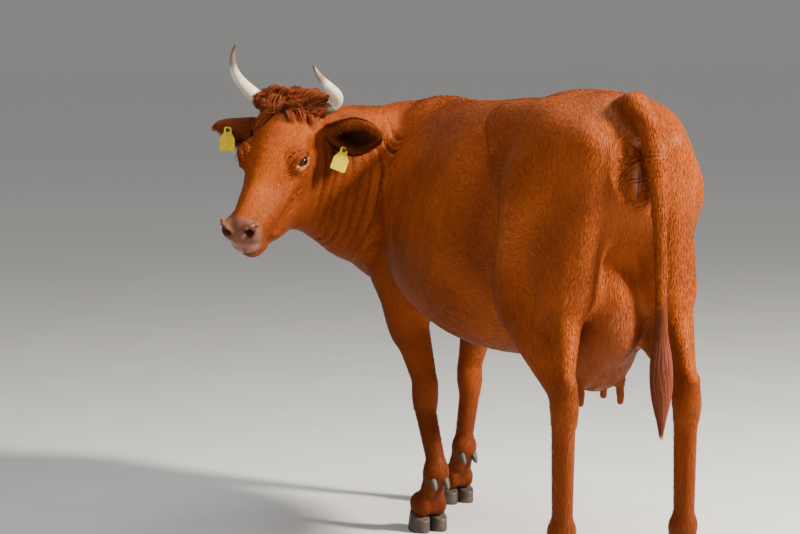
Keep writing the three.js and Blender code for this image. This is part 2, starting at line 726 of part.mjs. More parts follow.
// ---- tubes: tail, switch, horns --------------------------------------------------------
function tubeSolid(points, radii, around, flatten = 1) {
  const rows = points.length;
  const frame = (i) => {
    const t = points[Math.min(i + 1, rows - 1)].clone().sub(points[Math.max(i - 1, 0)]).normalize();
    const side = vec(0, 1, 0).cross(t).normalize();
    return { side, other: t.clone().cross(side) };
  };
  const ring = [];
  for (let i = 0; i < rows; i += 1) {
    const { side, other } = frame(i);
    for (let s = 0; s < around; s += 1) {
      const a = (s / around) * 2 * Math.PI;
      ring.push(points[i].clone()
        .addScaledVector(side, Math.cos(a) * radii[i])
        .addScaledVector(other, Math.sin(a) * radii[i] * flatten));
    }
  }
  const faces = [];
  for (let i = 0; i < rows - 1; i += 1) {
    for (let s = 0; s < around; s += 1) {
      const a = i * around + s;
      const b = i * around + (s + 1) % around;
      faces.push(a, b, b + around, a, b + around, a + around);
    }
  }
  const end = (rows - 1) * around;
  for (let s = 1; s < around - 1; s += 1) {
    faces.push(0, s + 1, s);
    faces.push(end, end + s, end + s + 1);
  }
  const solid = solidOf(ring, faces);
  return solid.volume() < 0 ? solidOf(ring, faces.reverse()) : solid;
}

const TAIL_BONES = [
  { p: vec(30, -4, 1262), r: 36 },
  { p: vec(-4, -9, 1266), r: 34 },
  { p: vec(-50, -22, 1225), r: 29 },
  { p: vec(-72, -35, 1130), r: 24 },
  { p: vec(-76, -45, 1000), r: 19 },
  { p: vec(-72, -50, 850), r: 16 },
  { p: vec(-68, -52, 700), r: 15 },
];
const SWITCH_LOW = 430;

function tailSolid(trunkGrown) {
  const curve = new THREE.CatmullRomCurve3(TAIL_BONES.map((bone_) => bone_.p));
  const rows = 13;
  const points = [];
  const radii = [];
  for (let i = 0; i <= rows; i += 1) {
    const t = i / rows;
    points.push(curve.getPoint(t));
    const x = t * (TAIL_BONES.length - 1);
    const n = Math.min(Math.floor(x), TAIL_BONES.length - 2);
    radii.push(THREE.MathUtils.lerp(TAIL_BONES[n].r, TAIL_BONES[n + 1].r, x - n));
  }
  return largest(tubeSolid(points, radii, 8).subtract(trunkGrown));
}

function switchSolid() {
  const top = TAIL_BONES[TAIL_BONES.length - 1].p;
  const rows = 7;
  const points = [];
  const radii = [];
  for (let i = 0; i <= rows; i += 1) {
    const t = i / rows;
    points.push(vec(top.x + 6 * t, top.y - 2 * t, top.z - GAP - t * (top.z - SWITCH_LOW)));
    radii.push(15 + 19 * Math.sin(Math.PI * Math.min(t * 1.15, 1)) - 8 * t * t);
  }
  return tubeSolid(points, radii, 10);
}

const HORN_PATH = {
  left: [[7, 106, -29], [-47, 160, -33], [62, 152, 108], [9, 122, 150]],
  right: [[7, 106, -29], [-47, 167, -33], [50, 160, 122], [-24, 122, 181]],
};

function hornSolid(side) {
  const way = side > 0 ? HORN_PATH.left : HORN_PATH.right;
  const path = way.map(([a, b, c]) => onHead(a, side * b, c));
  const curve = new THREE.CubicBezierCurve3(...path);
  const rows = 9;
  const points = [onHead(10, side * 92, -30)];
  const radii = [HORN_BASE];
  for (let i = 0; i <= rows; i += 1) {
    const t = i / rows;
    points.push(curve.getPoint(t));
    radii.push(HORN_BASE * (1 - t) ** 0.62 + 2.2);
  }
  return tubeSolid(points, radii, 10);
}

// ---- ears: rolled leaves, open along the front --------------------------------------------
const EAR = { length: 156, width: 160, thick: 9, roll: 2.4, unroll: 1.5, root: 25 };
const EAR_AXES = {
  left: { along: [0.13, 0.95, 0.12], open: [0.74, -0.13, 0.62] },
  right: { along: [-0.02, -0.9, -0.25], open: [0.93, 0.05, -0.05] },
};

function onAxes([a, b, c]) {
  return vec(0, 0, 0).addScaledVector(HA, a).addScaledVector(HB, b).addScaledVector(HC, c);
}

function earFrame(side) {
  const axes = side > 0 ? EAR_AXES.left : EAR_AXES.right;
  const along = onAxes(axes.along).normalize();
  const open = onAxes(axes.open);
  open.addScaledVector(along, -open.dot(along)).normalize();
  return { root: onHead(54, side * 118, -86), along, open, across: along.clone().cross(open) };
}

// half of the leaf's breadth along its curve, and the angle it is rolled through
function earProfile(s) {
  const end = s > 0.5 ? Math.sqrt(1 - ((s - 0.5) / 0.52) ** 2) : 1;
  const half = EAR.width / 2 * (0.8 + 0.2 * Math.sin(Math.PI * Math.min(s / 0.9, 1))) * end;
  return { half, roll: EAR.roll - EAR.unroll * s };
}

function earPoint(frame, s, w, depth) {
  const { half, roll } = earProfile(s);
  const radius = half / roll;
  const turn = w * roll;
  return frame.root.clone()
    .addScaledVector(frame.along, s * EAR.length)
    .addScaledVector(frame.across, (radius - depth) * Math.sin(turn))
    .addScaledVector(frame.open, radius - (radius - depth) * Math.cos(turn) - EAR.root);
}

function earSolid(side) {
  const frame = earFrame(side);
  const rows = 7;
  const columns = 10;
  const points = [];
  for (const face of [1, -1]) {
    for (let i = 0; i <= rows; i += 1) {
      for (let j = 0; j <= columns; j += 1) {
        const w = (j / columns) * 2 - 1;
        const rim = Math.sqrt(Math.max(1 - w ** 4, 0.12)) * (i === rows ? 0.5 : 1);
        points.push(earPoint(frame, i / rows, w, face * EAR.thick / 2 * rim));
      }
    }
  }
  const wide = columns + 1;
  const back = (rows + 1) * wide;
  const faces = [];
  const id = (layer, i, j) => layer * back + i * wide + j;
  const quad = (a, b, c, d) => faces.push(a, b, c, a, c, d);
  for (let i = 0; i < rows; i += 1) {
    for (let j = 0; j < columns; j += 1) {
      quad(id(0, i, j), id(0, i + 1, j), id(0, i + 1, j + 1), id(0, i, j + 1));
      quad(id(1, i, j), id(1, i, j + 1), id(1, i + 1, j + 1), id(1, i + 1, j));
    }
    quad(id(0, i, 0), id(1, i, 0), id(1, i + 1, 0), id(0, i + 1, 0));
    quad(id(0, i, columns), id(0, i + 1, columns), id(1, i + 1, columns), id(1, i, columns));
  }
  for (let j = 0; j < columns; j += 1) {
    quad(id(0, 0, j), id(0, 0, j + 1), id(1, 0, j + 1), id(1, 0, j));
    quad(id(0, rows, j), id(1, rows, j), id(1, rows, j + 1), id(0, rows, j + 1));
  }
  const solid = solidOf(points, faces);
  return solid.volume() < 0 ? solidOf(points, faces.reverse()) : solid;
}

// ---- ear tags --------------------------------------------------------------------------
const TAG_SEAT = {
  left: { s: 0.42, w: 0.97, lean: 20, lift: 8 },
  right: { s: 0.42, w: 0.98, lean: 4, lift: -8 },
};

// plate hanging from its stud beside the rim of the ear, its face turned forward
function tagSolids(side) {
  const place = side > 0 ? TAG_SEAT.left : TAG_SEAT.right;
  const seat = earPoint(earFrame(side), place.s, place.w, -EAR.thick / 2);
  const facing = onAxes([0.5, 0.25, 0.75]).setZ(0).normalize();
  const { width, height, neck, thick } = TAG;
  const outline = new THREE.Shape([
    new THREE.Vector2(-11, 9), new THREE.Vector2(11, 9), new THREE.Vector2(11, -neck * 0.3),
    new THREE.Vector2(width / 2, -neck), new THREE.Vector2(width / 2, -neck - height),
    new THREE.Vector2(-width / 2, -neck - height), new THREE.Vector2(-width / 2, -neck),
    new THREE.Vector2(-11, -neck * 0.3),
  ]);
  const plate = new THREE.ExtrudeGeometry(outline, { depth: thick, bevelEnabled: false });
  const upright = vec(0, 0, 1).applyAxisAngle(facing, rad(-place.lean));
  const hung = new THREE.Matrix4().makeBasis(upright.clone().cross(facing), upright, facing);
  hung.setPosition(seat.clone().addScaledVector(facing, 9).addScaledVector(upright, place.lift));
  plate.applyMatrix4(hung);
  const stud = new THREE.CylinderGeometry(6, 6, 8, 12);
  stud.rotateX(Math.PI / 2);
  stud.translate(0, 0, 4 + thick + GAP);
  stud.applyMatrix4(hung);
  return [geometrySolid(plate), geometrySolid(stud)];
}

// ---- udder -----------------------------------------------------------------------------
function teatSolid(f, l) {
  const teat = new THREE.CapsuleGeometry(12, 44, 3, 8);
  teat.rotateX(Math.PI / 2);
  teat.translate(f, l, 508);
  return geometrySolid(teat);
}

function udderSolid() {
  const net = regionNet(vec(20, -190, 440), vec(500, 190, 760), STEP.udder);
  const room = udderWedge(0).subtract(hindWedge(1, GAP)).subtract(hindWedge(-1, GAP));
  let udder = largest(netSolid(net).intersect(room));
  for (const f of [222, 345]) {
    for (const l of [55, -55]) udder = udder.add(teatSolid(f, l));
  }
  return udder;
}

// ---- assembly --------------------------------------------------------------------------
function eyeBall(side, grow = 0) {
  const ball = new THREE.SphereGeometry(EYE_RADIUS + grow, 12, 8);
  const p = onHead(196, side * 92, -50);
  ball.translate(p.x, p.y, p.z);
  return geometrySolid(ball);
}

function assemble() {
  const out = {};
  const trunkCut = [hindWedge(1, GAP), hindWedge(-1, GAP), foreWedge(1, GAP), foreWedge(-1, GAP), udderWedge(GAP)];
  const trunkGrown = grownSolid(trunkNet, field, GAP);
  let trunk = netSolid(trunkNet).intersect(trunkRoom(0));
  for (const cutter of trunkCut) trunk = trunk.subtract(cutter);
  out.trunk = trunk;
  const { normal, point } = HEAD_PLANE;
  const neck = keepBeyond(netSolid(neckNet).subtract(trunkRoom(GAP)), normal.clone().negate(), point, GAP / 2);
  out.neck = neck.subtract(foreWedge(1, GAP)).subtract(foreWedge(-1, GAP));
  let head = keepBeyond(netSolid(headNet).subtract(trunkRoom(GAP)), normal, point, GAP / 2);
  const headGrown = grownSolid(headNet, field, GAP);
  const neckGrown = grownSolid(neckNet, field, GAP);
  for (const side of [1, -1]) {
    const name = side > 0 ? 'left' : 'right';
    head = head.subtract(eyeBall(side, GAP + 0.3));
    out[`eye_${name}`] = eyeBall(side);
    out[`horn_${name}`] = hornSolid(side).subtract(headGrown);
    out[`ear_${name}`] = earSolid(side).subtract(headGrown).subtract(neckGrown).subtract(trunkGrown);
    const [plate, stud] = tagSolids(side);
    const earGrown = out[`ear_${name}`];
    out[`tag_${name}`] = plate.subtract(earGrown);
    out[`tag_stud_${name}`] = stud.subtract(earGrown);
    Object.assign(out, legSet(side, 'fore'), legSet(side, 'hind'));
  }
  out.head = head;
  out.tail = tailSolid(trunkGrown);
  out.tail_switch = switchSolid();
  out.udder = udderSolid();
  return out;
}

function materialOf(name) {
  const make = (color, roughness) => new THREE.MeshStandardMaterial({ color, roughness, metalness: 0 });
  if (name.startsWith('horn')) return make(COLOR.horn, 0.45);
  if (name.includes('claw')) return make(COLOR.hoof, 0.6);
  if (name.startsWith('eye')) return make(COLOR.eye, 0.08);
  if (name.startsWith('tag')) return make(COLOR.tag, 0.5);
  if (name === 'tail_switch') return make(COLOR.tail, 0.85);
  return make(COLOR.coat, 0.85);
}

function meshOf(name, solid) {
  const { vertProperties, triVerts, numProp } = solid.getMesh();
  const geometry = new THREE.BufferGeometry();
  const position = new Float32Array((vertProperties.length / numProp) * 3);
  for (let i = 0; i < position.length / 3; i += 1) {
    const [f, l, u] = [0, 1, 2].map((n) => vertProperties[i * numProp + n]);
    position.set([l, -f, u], i * 3);
  }
  geometry.setAttribute('position', new THREE.BufferAttribute(position, 3));
  geometry.setIndex(new THREE.BufferAttribute(new Uint32Array(triVerts), 1));
  geometry.computeVertexNormals();
  const mesh = new THREE.Mesh(geometry, materialOf(name));
  mesh.name = name;
  return mesh;
}

const cow = new THREE.Group();
cow.name = 'cow';
for (const [name, solid] of Object.entries(assemble())) cow.add(meshOf(name, largest(solid)));

// the origin goes to the middle of the footprint, at floor level
const bounds = new THREE.Box3().setFromObject(cow);
const middle = bounds.getCenter(new THREE.Vector3());
for (const mesh of cow.children) mesh.geometry.translate(-middle.x, -middle.y, -bounds.min.z);

export default cow;
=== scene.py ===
"""A standing red-brown cow with its head turned back over its left side.

The flesh is one field in millimetres, in axes forward, left, up. Its surface becomes one
skin; the coat's tufts, the eyes, horns, claws, ears' hair, tags and tail switch are made on
it. row() turns that frame into the row's metres.
"""
import math

import bpy
import numpy as np
from mathutils import Matrix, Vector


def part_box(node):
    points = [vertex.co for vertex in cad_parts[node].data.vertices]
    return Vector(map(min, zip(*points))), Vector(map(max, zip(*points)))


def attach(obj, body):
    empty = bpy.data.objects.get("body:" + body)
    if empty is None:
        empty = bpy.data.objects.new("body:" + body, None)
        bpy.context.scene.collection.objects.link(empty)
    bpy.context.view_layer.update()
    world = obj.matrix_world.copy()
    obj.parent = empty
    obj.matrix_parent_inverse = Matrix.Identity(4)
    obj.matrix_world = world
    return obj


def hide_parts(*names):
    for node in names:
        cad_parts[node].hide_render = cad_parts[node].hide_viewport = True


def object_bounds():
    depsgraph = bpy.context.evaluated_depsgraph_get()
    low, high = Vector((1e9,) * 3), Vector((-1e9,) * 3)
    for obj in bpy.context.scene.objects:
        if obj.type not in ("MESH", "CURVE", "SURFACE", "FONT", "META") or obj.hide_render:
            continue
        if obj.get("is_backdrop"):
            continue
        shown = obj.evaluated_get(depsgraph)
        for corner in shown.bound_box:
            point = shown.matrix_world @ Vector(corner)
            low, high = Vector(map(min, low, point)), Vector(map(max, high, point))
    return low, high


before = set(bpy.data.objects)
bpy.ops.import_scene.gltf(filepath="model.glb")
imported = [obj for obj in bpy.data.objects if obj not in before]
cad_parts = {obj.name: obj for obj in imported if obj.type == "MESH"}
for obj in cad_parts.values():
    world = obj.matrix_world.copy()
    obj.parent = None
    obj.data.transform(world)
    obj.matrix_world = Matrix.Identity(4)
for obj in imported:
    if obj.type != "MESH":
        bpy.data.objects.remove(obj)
CAD_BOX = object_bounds()
RNG = np.random.default_rng(20)

# ---- sizes, millimetres --------------------------------------------------------------------------
COAT_DEPTH = 3.0                 # the skin lies this far inside the solids of flesh
GRID = 8.0                       # step of the skin's net
HEAD_SCALE = 1.03
EYE_AT = (196, 92, -50)          # on the head; mirrored for the right eye
EYE_RADIUS = 18.0
EAR = {"length": 156, "width": 160, "thick": 9, "roll": 2.4, "unroll": 1.5, "root": 25}
EAR_AXES = {                     # along the ear and out of its opening, on the head
    1: ((0.13, 0.95, 0.12), (0.74, -0.13, 0.62)),
    -1: ((-0.02, -0.9, -0.25), (0.93, 0.05, -0.05)),
}
TAG_SEAT = {1: (0.42, 0.97, 20, 8), -1: (0.42, 0.98, 4, -8)}      # along the ear, across it, lean, lift
TAG = {"width": 46, "height": 36, "neck": 26, "thick": 1.8}
BEND = {"start": 300.0, "end": 1300.0, "angle": 12.0}
AHEAD = {("fore", 1): -165, ("fore", -1): 90, ("hind", 1): 0, ("hind", -1): -25}
SPREAD = {("fore", 1): 145, ("fore", -1): 145, ("hind", 1): 175, ("hind", -1): 145}
SIDE_NAME = {1: "left", -1: "right"}
HAIR_SHARE = 1.0


def vec(*v):
    return np.array(v, float)


def unit(v):
    v = np.asarray(v, float)
    return v / np.maximum(np.linalg.norm(v, axis=-1, keepdims=True), 1e-9)


def smooth(x, lo, hi):
    t = np.clip((np.asarray(x, float) - lo) / (hi - lo), 0, 1)
    return t * t * (3 - 2 * t)


def band(x, start, full, fade, end):
    """1 from full to fade, 0 before start and past end."""
    return smooth(x, start, full) * (1 - smooth(x, fade, end))


# ---- the bend of the spine -----------------------------------------------------------------------
BEND_ANGLE = math.radians(BEND["angle"])
BEND_RADIUS = (BEND["end"] - BEND["start"]) / BEND_ANGLE


def turn_at(f):
    return (min(max(f, BEND["start"]), BEND["end"]) - BEND["start"]) / BEND_RADIUS


def bent(p):
    """A point of the straight body on the bent one."""
    f, l, u = p
    if f <= BEND["start"]:
        return vec(f, l, u)
    t = turn_at(f)
    past = max(f - BEND["end"], 0)
    r = BEND_RADIUS - l
    x = BEND["start"] + r * math.sin(t) + past * math.cos(t)
    y = BEND_RADIUS - r * math.cos(t) + past * math.sin(t)
    return vec(x, y, u)


def straightened(points):
    """Points of the bent body put back on the straight one."""
    f = points[..., 0] - BEND["start"]
    l = BEND_RADIUS - points[..., 1]
    angle = np.arctan2(f, l)
    r = np.hypot(f, l)
    c, s = math.cos(BEND_ANGLE), math.sin(BEND_ANGLE)
    ex, ey = BEND["start"] + BEND_RADIUS * s, BEND_RADIUS * (1 - c)
    fe = BEND["end"] + (points[..., 0] - ex) * c + (points[..., 1] - ey) * s
    le = -(points[..., 0] - ex) * s + (points[..., 1] - ey) * c
    before = f < 0
    after = ~before & (angle > BEND_ANGLE)
    out = points.copy()
    out[..., 0] = np.where(before, points[..., 0], np.where(after, fe, BEND["start"] + BEND_RADIUS * angle))
    out[..., 1] = np.where(before, points[..., 1], np.where(after, le, BEND_RADIUS - r))
    return out


# ---- head frame: a down the face, b to the cow's left, c out of the forehead ---------------------
POLL = vec(1214.6, 579.1, 1284.1)
HEAD_YAW, HEAD_PITCH, HEAD_ROLL = (math.radians(x) for x in (134.9, 45.8, -5.1))


def head_axes():
    cy, sy, cp, sp = math.cos(HEAD_YAW), math.sin(HEAD_YAW), math.cos(HEAD_PITCH), math.sin(HEAD_PITCH)
    a = vec(cy * cp, sy * cp, -sp)
    level = vec(-sy, cy, 0)
    top = np.cross(a, level)
    cr, sr = math.cos(HEAD_ROLL), math.sin(HEAD_ROLL)
    return np.stack([a, level * cr + top * sr, top * cr - level * sr])


HEAD = head_axes()


def on_head(a, b, c):
    return POLL + HEAD_SCALE * (vec(a, b, c) @ HEAD)


def head_local(points):
    return (points - POLL) @ HEAD.T / HEAD_SCALE


def head_mirrored(points):
    """As head_local, with the right side of the head laid on the left one."""
    local = head_local(points)
    return np.stack([local[:, 0], np.abs(local[:, 1]), local[:, 2]], 1)


# ---- from this frame to the row's metres ---------------------------------------------------------
def turned(points):
    points = np.asarray(points, float)
    return np.stack([points[..., 1], -points[..., 0], points[..., 2]], -1)


eye_low, eye_high = (np.array(c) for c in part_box("eye_left"))
SHIFT = (eye_low + eye_high) / 2 - turned(on_head(*EYE_AT)) / 1000


def row(points):
    return turned(points) / 1000 + SHIFT


# ---- the field of the flesh ----------------------------------------------------------------------
def bone_distance(p, a, b, ra, rb):
    """Round cone between two spheres."""
    ba = b - a
    length = np.linalg.norm(ba)
    pa = p - a
    y = pa @ ba / length
    x = np.sqrt(np.maximum((pa * pa).sum(1) - y * y, 0))
    s = (ra - rb) / length
    c = math.sqrt(max(1 - s * s, 1e-6))
    k = y * c - x * s
    near = np.hypot(x, y) - ra
    far = np.hypot(x, y - length) - rb
    return np.where(k < 0, near, np.where(k > length * c, far, x * c + y * s - ra))


def lump_distance(p, center, radii, axes):
    q = (p - center) @ axes.T
    k0 = np.linalg.norm(q / radii, axis=1)
    k1 = np.linalg.norm(q / (radii * radii), axis=1)
    return k0 * (k0 - 1) / np.maximum(k1, 1e-9)


# forward, half width, top, bottom, level of the widest place, exponents above and below it
TRUNK = np.array([
    [-40, 70, 1200, 1010, 1120, 2.1, 2.1],
    [60, 140, 1285, 900, 1110, 2.3, 2.2],
    [200, 190, 1302, 780, 1060, 2.4, 2.2],
    [350, 215, 1305, 660, 1000, 2.3, 2.2],
    [520, 250, 1285, 585, 930, 2.2, 2.2],
    [720, 295, 1278, 560, 890, 2.15, 2.2],
    [900, 308, 1270, 565, 870, 2.05, 2.2],
    [1080, 285, 1266, 595, 880, 1.95, 2.2],
    [1240, 232, 1268, 615, 900, 1.85, 2.2],
    [1400, 175, 1225, 620, 900, 1.8, 2.1],
    [1500, 110, 1150, 680, 900, 2.0, 2.0],
])
TRUNK_SLOPE = np.gradient(TRUNK, axis=0) / np.gradient(TRUNK[:, 0])[:, None]


def trunk_section(f):
    f = np.clip(f, TRUNK[0, 0], TRUNK[-1, 0])
    i = np.clip(np.searchsorted(TRUNK[:, 0], f) - 1, 0, len(TRUNK) - 2)
    span = TRUNK[i + 1, 0] - TRUNK[i, 0]
    w = (f - TRUNK[i, 0]) / span
    h00, h10 = 2 * w**3 - 3 * w**2 + 1, w**3 - 2 * w**2 + w
    h01, h11 = -2 * w**3 + 3 * w**2, w**3 - w**2
    ends = h00[:, None] * TRUNK[i] + h01[:, None] * TRUNK[i + 1]
    slopes = (h10 * span)[:, None] * TRUNK_SLOPE[i] + (h11 * span)[:, None] * TRUNK_SLOPE[i + 1]
    return ends + slopes


def trunk_distance(points):
    p = straightened(points)
    half, top, bottom, level, above, below = trunk_section(p[:, 0])[:, 1:].T
    rise = p[:, 2] - level
    tall = np.where(rise > 0, top - level, level - bottom)
    n = np.where(rise > 0, above, below)
    x, y = np.abs(p[:, 1]) / half, np.abs(rise) / tall
    rho = (x**n + y**n) ** (1 / n) + 1e-9
    steep = np.hypot(x ** (n - 1) / half, y ** (n - 1) / tall) / np.maximum(rho ** (n - 1), 1e-9)
    d = (rho - 1) / np.maximum(steep, 1e-6)
    d = np.where(d < -60, np.maximum(d, -np.hypot(p[:, 1], rise) - 60), d)
    past = np.maximum(np.maximum(TRUNK[0, 0] - p[:, 0], p[:, 0] - TRUNK[-1, 0]), 0)
    return np.where(past > 0, np.hypot(np.maximum(d, 0), past), d)


BLOCK = 90.0                     # side of the blocks of space in which the field is worked out
SPARE = 25.0                     # parts this near to a block count for it too


def reach_of(blend, cut):
    """How far outside its own surface a part is felt: wide blends also act on later, nearer parts."""
    return blend + 16 if cut or blend < 35 else 2 * blend


class Field:
    """Smooth union of round cones, ellipsoids and the trunk, in a fixed order."""

    def __init__(self):
        self.parts = []

    def add(self, function, args, blend, low, high, cut=False):
        self.parts.append((function, args, blend, low, high, cut))

    def bone(self, a, b, ra, rb, blend, cut=False):
        a, b = np.asarray(a, float), np.asarray(b, float)
        reach = max(ra, rb) + reach_of(blend, cut)
        self.add(bone_distance, (a, b, ra, rb), blend,
                 np.minimum(a, b) - reach, np.maximum(a, b) + reach, cut)

    def chain(self, points, radii, blend, cut=False):
        """Bones end to end through the points."""
        for a, b, ra, rb in zip(points, points[1:], radii, radii[1:]):
            self.bone(a, b, ra, rb, blend, cut)

    def lump(self, center, radii, blend, axes=None, cut=False):
        center, radii = np.asarray(center, float), vec(*radii)
        axes = np.eye(3) if axes is None else axes
        reach = np.abs(axes.T) @ radii + reach_of(blend, cut)
        self.add(lump_distance, (center, radii, axes), blend, center - reach, center + reach, cut)

    @staticmethod
    def join(d, e, blend, cut):
        e = -e if cut else e
        h = np.maximum(blend - np.abs(d - e), 0) / blend
        if cut:
            return np.maximum(d, e) + h * h * blend / 4
        return np.minimum(d, e) - h * h * blend / 4

    def __call__(self, points):
        """Each block of space looks only at the parts that reach it."""
        lows = np.array([part[3] for part in self.parts])
        highs = np.array([part[4] for part in self.parts])
        cell = np.floor(points / BLOCK).astype(np.int64)
        key = (cell[:, 0] * 4096 + cell[:, 1]) * 4096 + cell[:, 2]
        order = np.argsort(key, kind="stable")
        starts = np.flatnonzero(np.diff(key[order], prepend=key[order[0]] - 1))
        d = np.full(len(points), 1e3)
        for first, last in zip(starts, np.append(starts[1:], len(points))):
            mine = order[first:last]
            near = points[mine]
            low = cell[mine[0]] * BLOCK
            value = np.full(len(near), 1e3)
            for i in np.flatnonzero(((lows < low + BLOCK + SPARE) & (highs > low - SPARE)).all(1)):
                function, args, blend, _, _, cut = self.parts[i]
                value = self.join(value, function(near, *args), blend, cut)
            d[mine] = value
        return d

    def grid(self, low, high, step):
        count = np.ceil((high - low) / step).astype(int) + 1
        axes = [low[i] + step * np.arange(count[i]) for i in range(3)]
        d = np.full(tuple(count), 1e3, np.float32)
        for function, args, blend, plow, phigh, cut in self.parts:
            first = np.clip(np.floor((plow - low) / step).astype(int), 0, count)
            last = np.clip(np.ceil((phigh - low) / step).astype(int) + 1, 0, count)
            if (last <= first).any():
                continue
            place = tuple(slice(first[i], last[i]) for i in range(3))
            near = np.stack(np.meshgrid(*(axes[i][place[i]] for i in range(3)), indexing="ij"), -1)
            e = function(near.reshape(-1, 3), *args).reshape(near.shape[:3]).astype(np.float32)
            d[place] = self.join(d[place], e, blend, cut)
        return d


FLESH = Field()


def at(p, f, l, u):
    return np.asarray(p, float) + vec(f, l, u)


def body_bone(a, b, ra, rb, blend):
    FLESH.bone(bent(a), bent(b), ra, rb, blend)


def body_lump(center, radii, blend):
    t = turn_at(center[0])
    axes = np.array([[math.cos(t), math.sin(t), 0], [-math.sin(t), math.cos(t), 0], [0, 0, 1]])
    FLESH.lump(bent(center), radii, blend, axes)


def foot_joints(end, side):
    ahead, out = AHEAD[end, side], side * SPREAD[end, side]
    if end == "hind":
        return vec(15 + ahead, out, 520), vec(40 + ahead, out, 190)
    return vec(1300 + ahead, out, 400), vec(1300 + ahead * 1.42, out, 185)


def add_coronet(fetlock, ahead):
    for inner in (1, -1):
        body_lump(at(fetlock, ahead, inner * 26, 80 - fetlock[2]), (50, 25, 40), 14)


def add_hind_quarter(side):
    hock, fetlock = foot_joints("hind", side)
    a = AHEAD["hind", side] * 0.3
    body_lump((445, side * 192, 1204), (66, 40, 44), 80)
    body_bone((400, side * 165, 1215), (60, side * 105, 1178), 36, 36, 90)
    body_lump((10, side * 100, 1165), (46, 38, 44), 50)
    body_lump((260, side * 138, 1125), (205, 80, 120), 80)
    body_lump((215, side * 180, 1060), (75, 42, 75), 70)
    body_bone((200, side * 140, 1030), (330 + a, side * 165, 810), 130, 92, 60)
    body_bone((45, side * 105, 1100), (85 + a, side * 128, 800), 74, 66, 60)
    body_lump((355 + a, side * 185, 765), (56, 44, 72), 50)
    body_lump((170, side * 150, 860), (125, 66, 150), 50)
    body_bone((270 + a, side * 172, 750), at(hock, 38, 0, 45), 98, 40, 50)
    body_bone((100 + a, side * 140, 780), at(hock, -20, 0, 62), 52, 17, 50)
    body_lump(at(hock, 4, 0, -5), (50, 36, 64), 22)
    body_bone(at(hock, -34, 0, 52), at(hock, -14, 0, -40), 22, 25, 18)
    body_bone(at(hock, 8, 0, -55), at(fetlock, -4, 0, 30), 32, 28, 18)
    body_bone(at(hock, -18, 0, -60), at(fetlock, -24, 0, 30), 18, 18, 14)
    body_lump(fetlock, (38, 37, 38), 20)
    body_bone(fetlock, at(fetlock, 50, 0, -105), 32, 37, 16)
    add_coronet(fetlock, 60)


def add_fore_quarter(side):
    knee, fetlock = foot_joints("fore", side)
    elbow = vec(1290 + AHEAD["fore", side] * 0.12, side * 168, 745)
    body_bone((1255, side * 65, 1185), (1410, side * 150, 950), 60, 82, 70)
    body_lump((1300, side * 165, 890), (135, 58, 140), 50)
    body_lump((1435, side * 145, 880), (60, 50, 75), 70)
    body_bone((1440, side * 150, 880), elbow, 70, 56, 50)
    body_bone(at(elbow, 0, 0, 5), at(knee, 0, 0, 42), 72, 38, 45)
    body_lump(at(elbow * 0.7 + knee * 0.3, 12, side * 8, 0), (58, 38, 105), 40)
    body_lump(knee, (43, 40, 58), 20)
    body_bone(at(knee, 0, 0, -40), at(fetlock, 0, 0, 30), 33, 29, 16)
    body_lump(fetlock, (39, 38, 39), 18)
    body_bone(fetlock, at(fetlock, 44, 0, -98), 33, 38, 16)
    add_coronet(fetlock, 56)


def bezier(p0, p1, p2, p3, t):
    t = np.asarray(t, float)[..., None]
    return (1 - t)**3 * p0 + 3 * (1 - t)**2 * t * p1 + 3 * (1 - t) * t * t * p2 + t**3 * p3


def neck_point(t):
    start, end = bent((1235, 0, 0)), vec(POLL[0], POLL[1], 0)
    leave = vec(math.cos(BEND_ANGLE), math.sin(BEND_ANGLE), 0)
    arrive = vec(math.cos(math.radians(118)), math.sin(math.radians(118)), 0)
    return bezier(start, start + leave * 270, end - arrive * 230, end, t)


NECK_STRANDS = (                 # stations on the neck's arc, levels, radii, blend
    ((0.08, 0.35, 0.62, 0.92), (1172, 1168, 1165, 1190), (82, 70, 62, 60), 70),
    ((0.1, 0.35, 0.62, 0.9), (1050, 1060, 1085, 1115), (150, 128, 110, 94), 90),
    ((0.16, 0.4, 0.66, 0.9), (900, 930, 970, 1015), (138, 118, 98, 78), 90),
    ((0.2, 0.45, 0.7, 0.95), (770, 815, 875, 935), (92, 72, 58, 46), 70),
)


def add_neck():
    for stations, levels, radii, blend in NECK_STRANDS:
        FLESH.chain([at(neck_point(t), 0, 0, u) for t, u in zip(stations, levels)], radii, blend)


def head_bone(a, b, ra, rb, blend, cut=False):
    FLESH.bone(on_head(*a), on_head(*b), ra * HEAD_SCALE, rb * HEAD_SCALE, blend, cut)


def head_chain(side, points, radii, blend, cut=False):
    """Bones end to end through points of the head's left side, mirrored for the right one."""
    points = [on_head(a, side * b, c) for a, b, c in points]
    FLESH.chain(points, [r * HEAD_SCALE for r in radii], blend, cut)


def head_lump(center, radii, blend, cut=False):
    FLESH.lump(on_head(*center), [r * HEAD_SCALE for r in radii], blend, HEAD, cut)


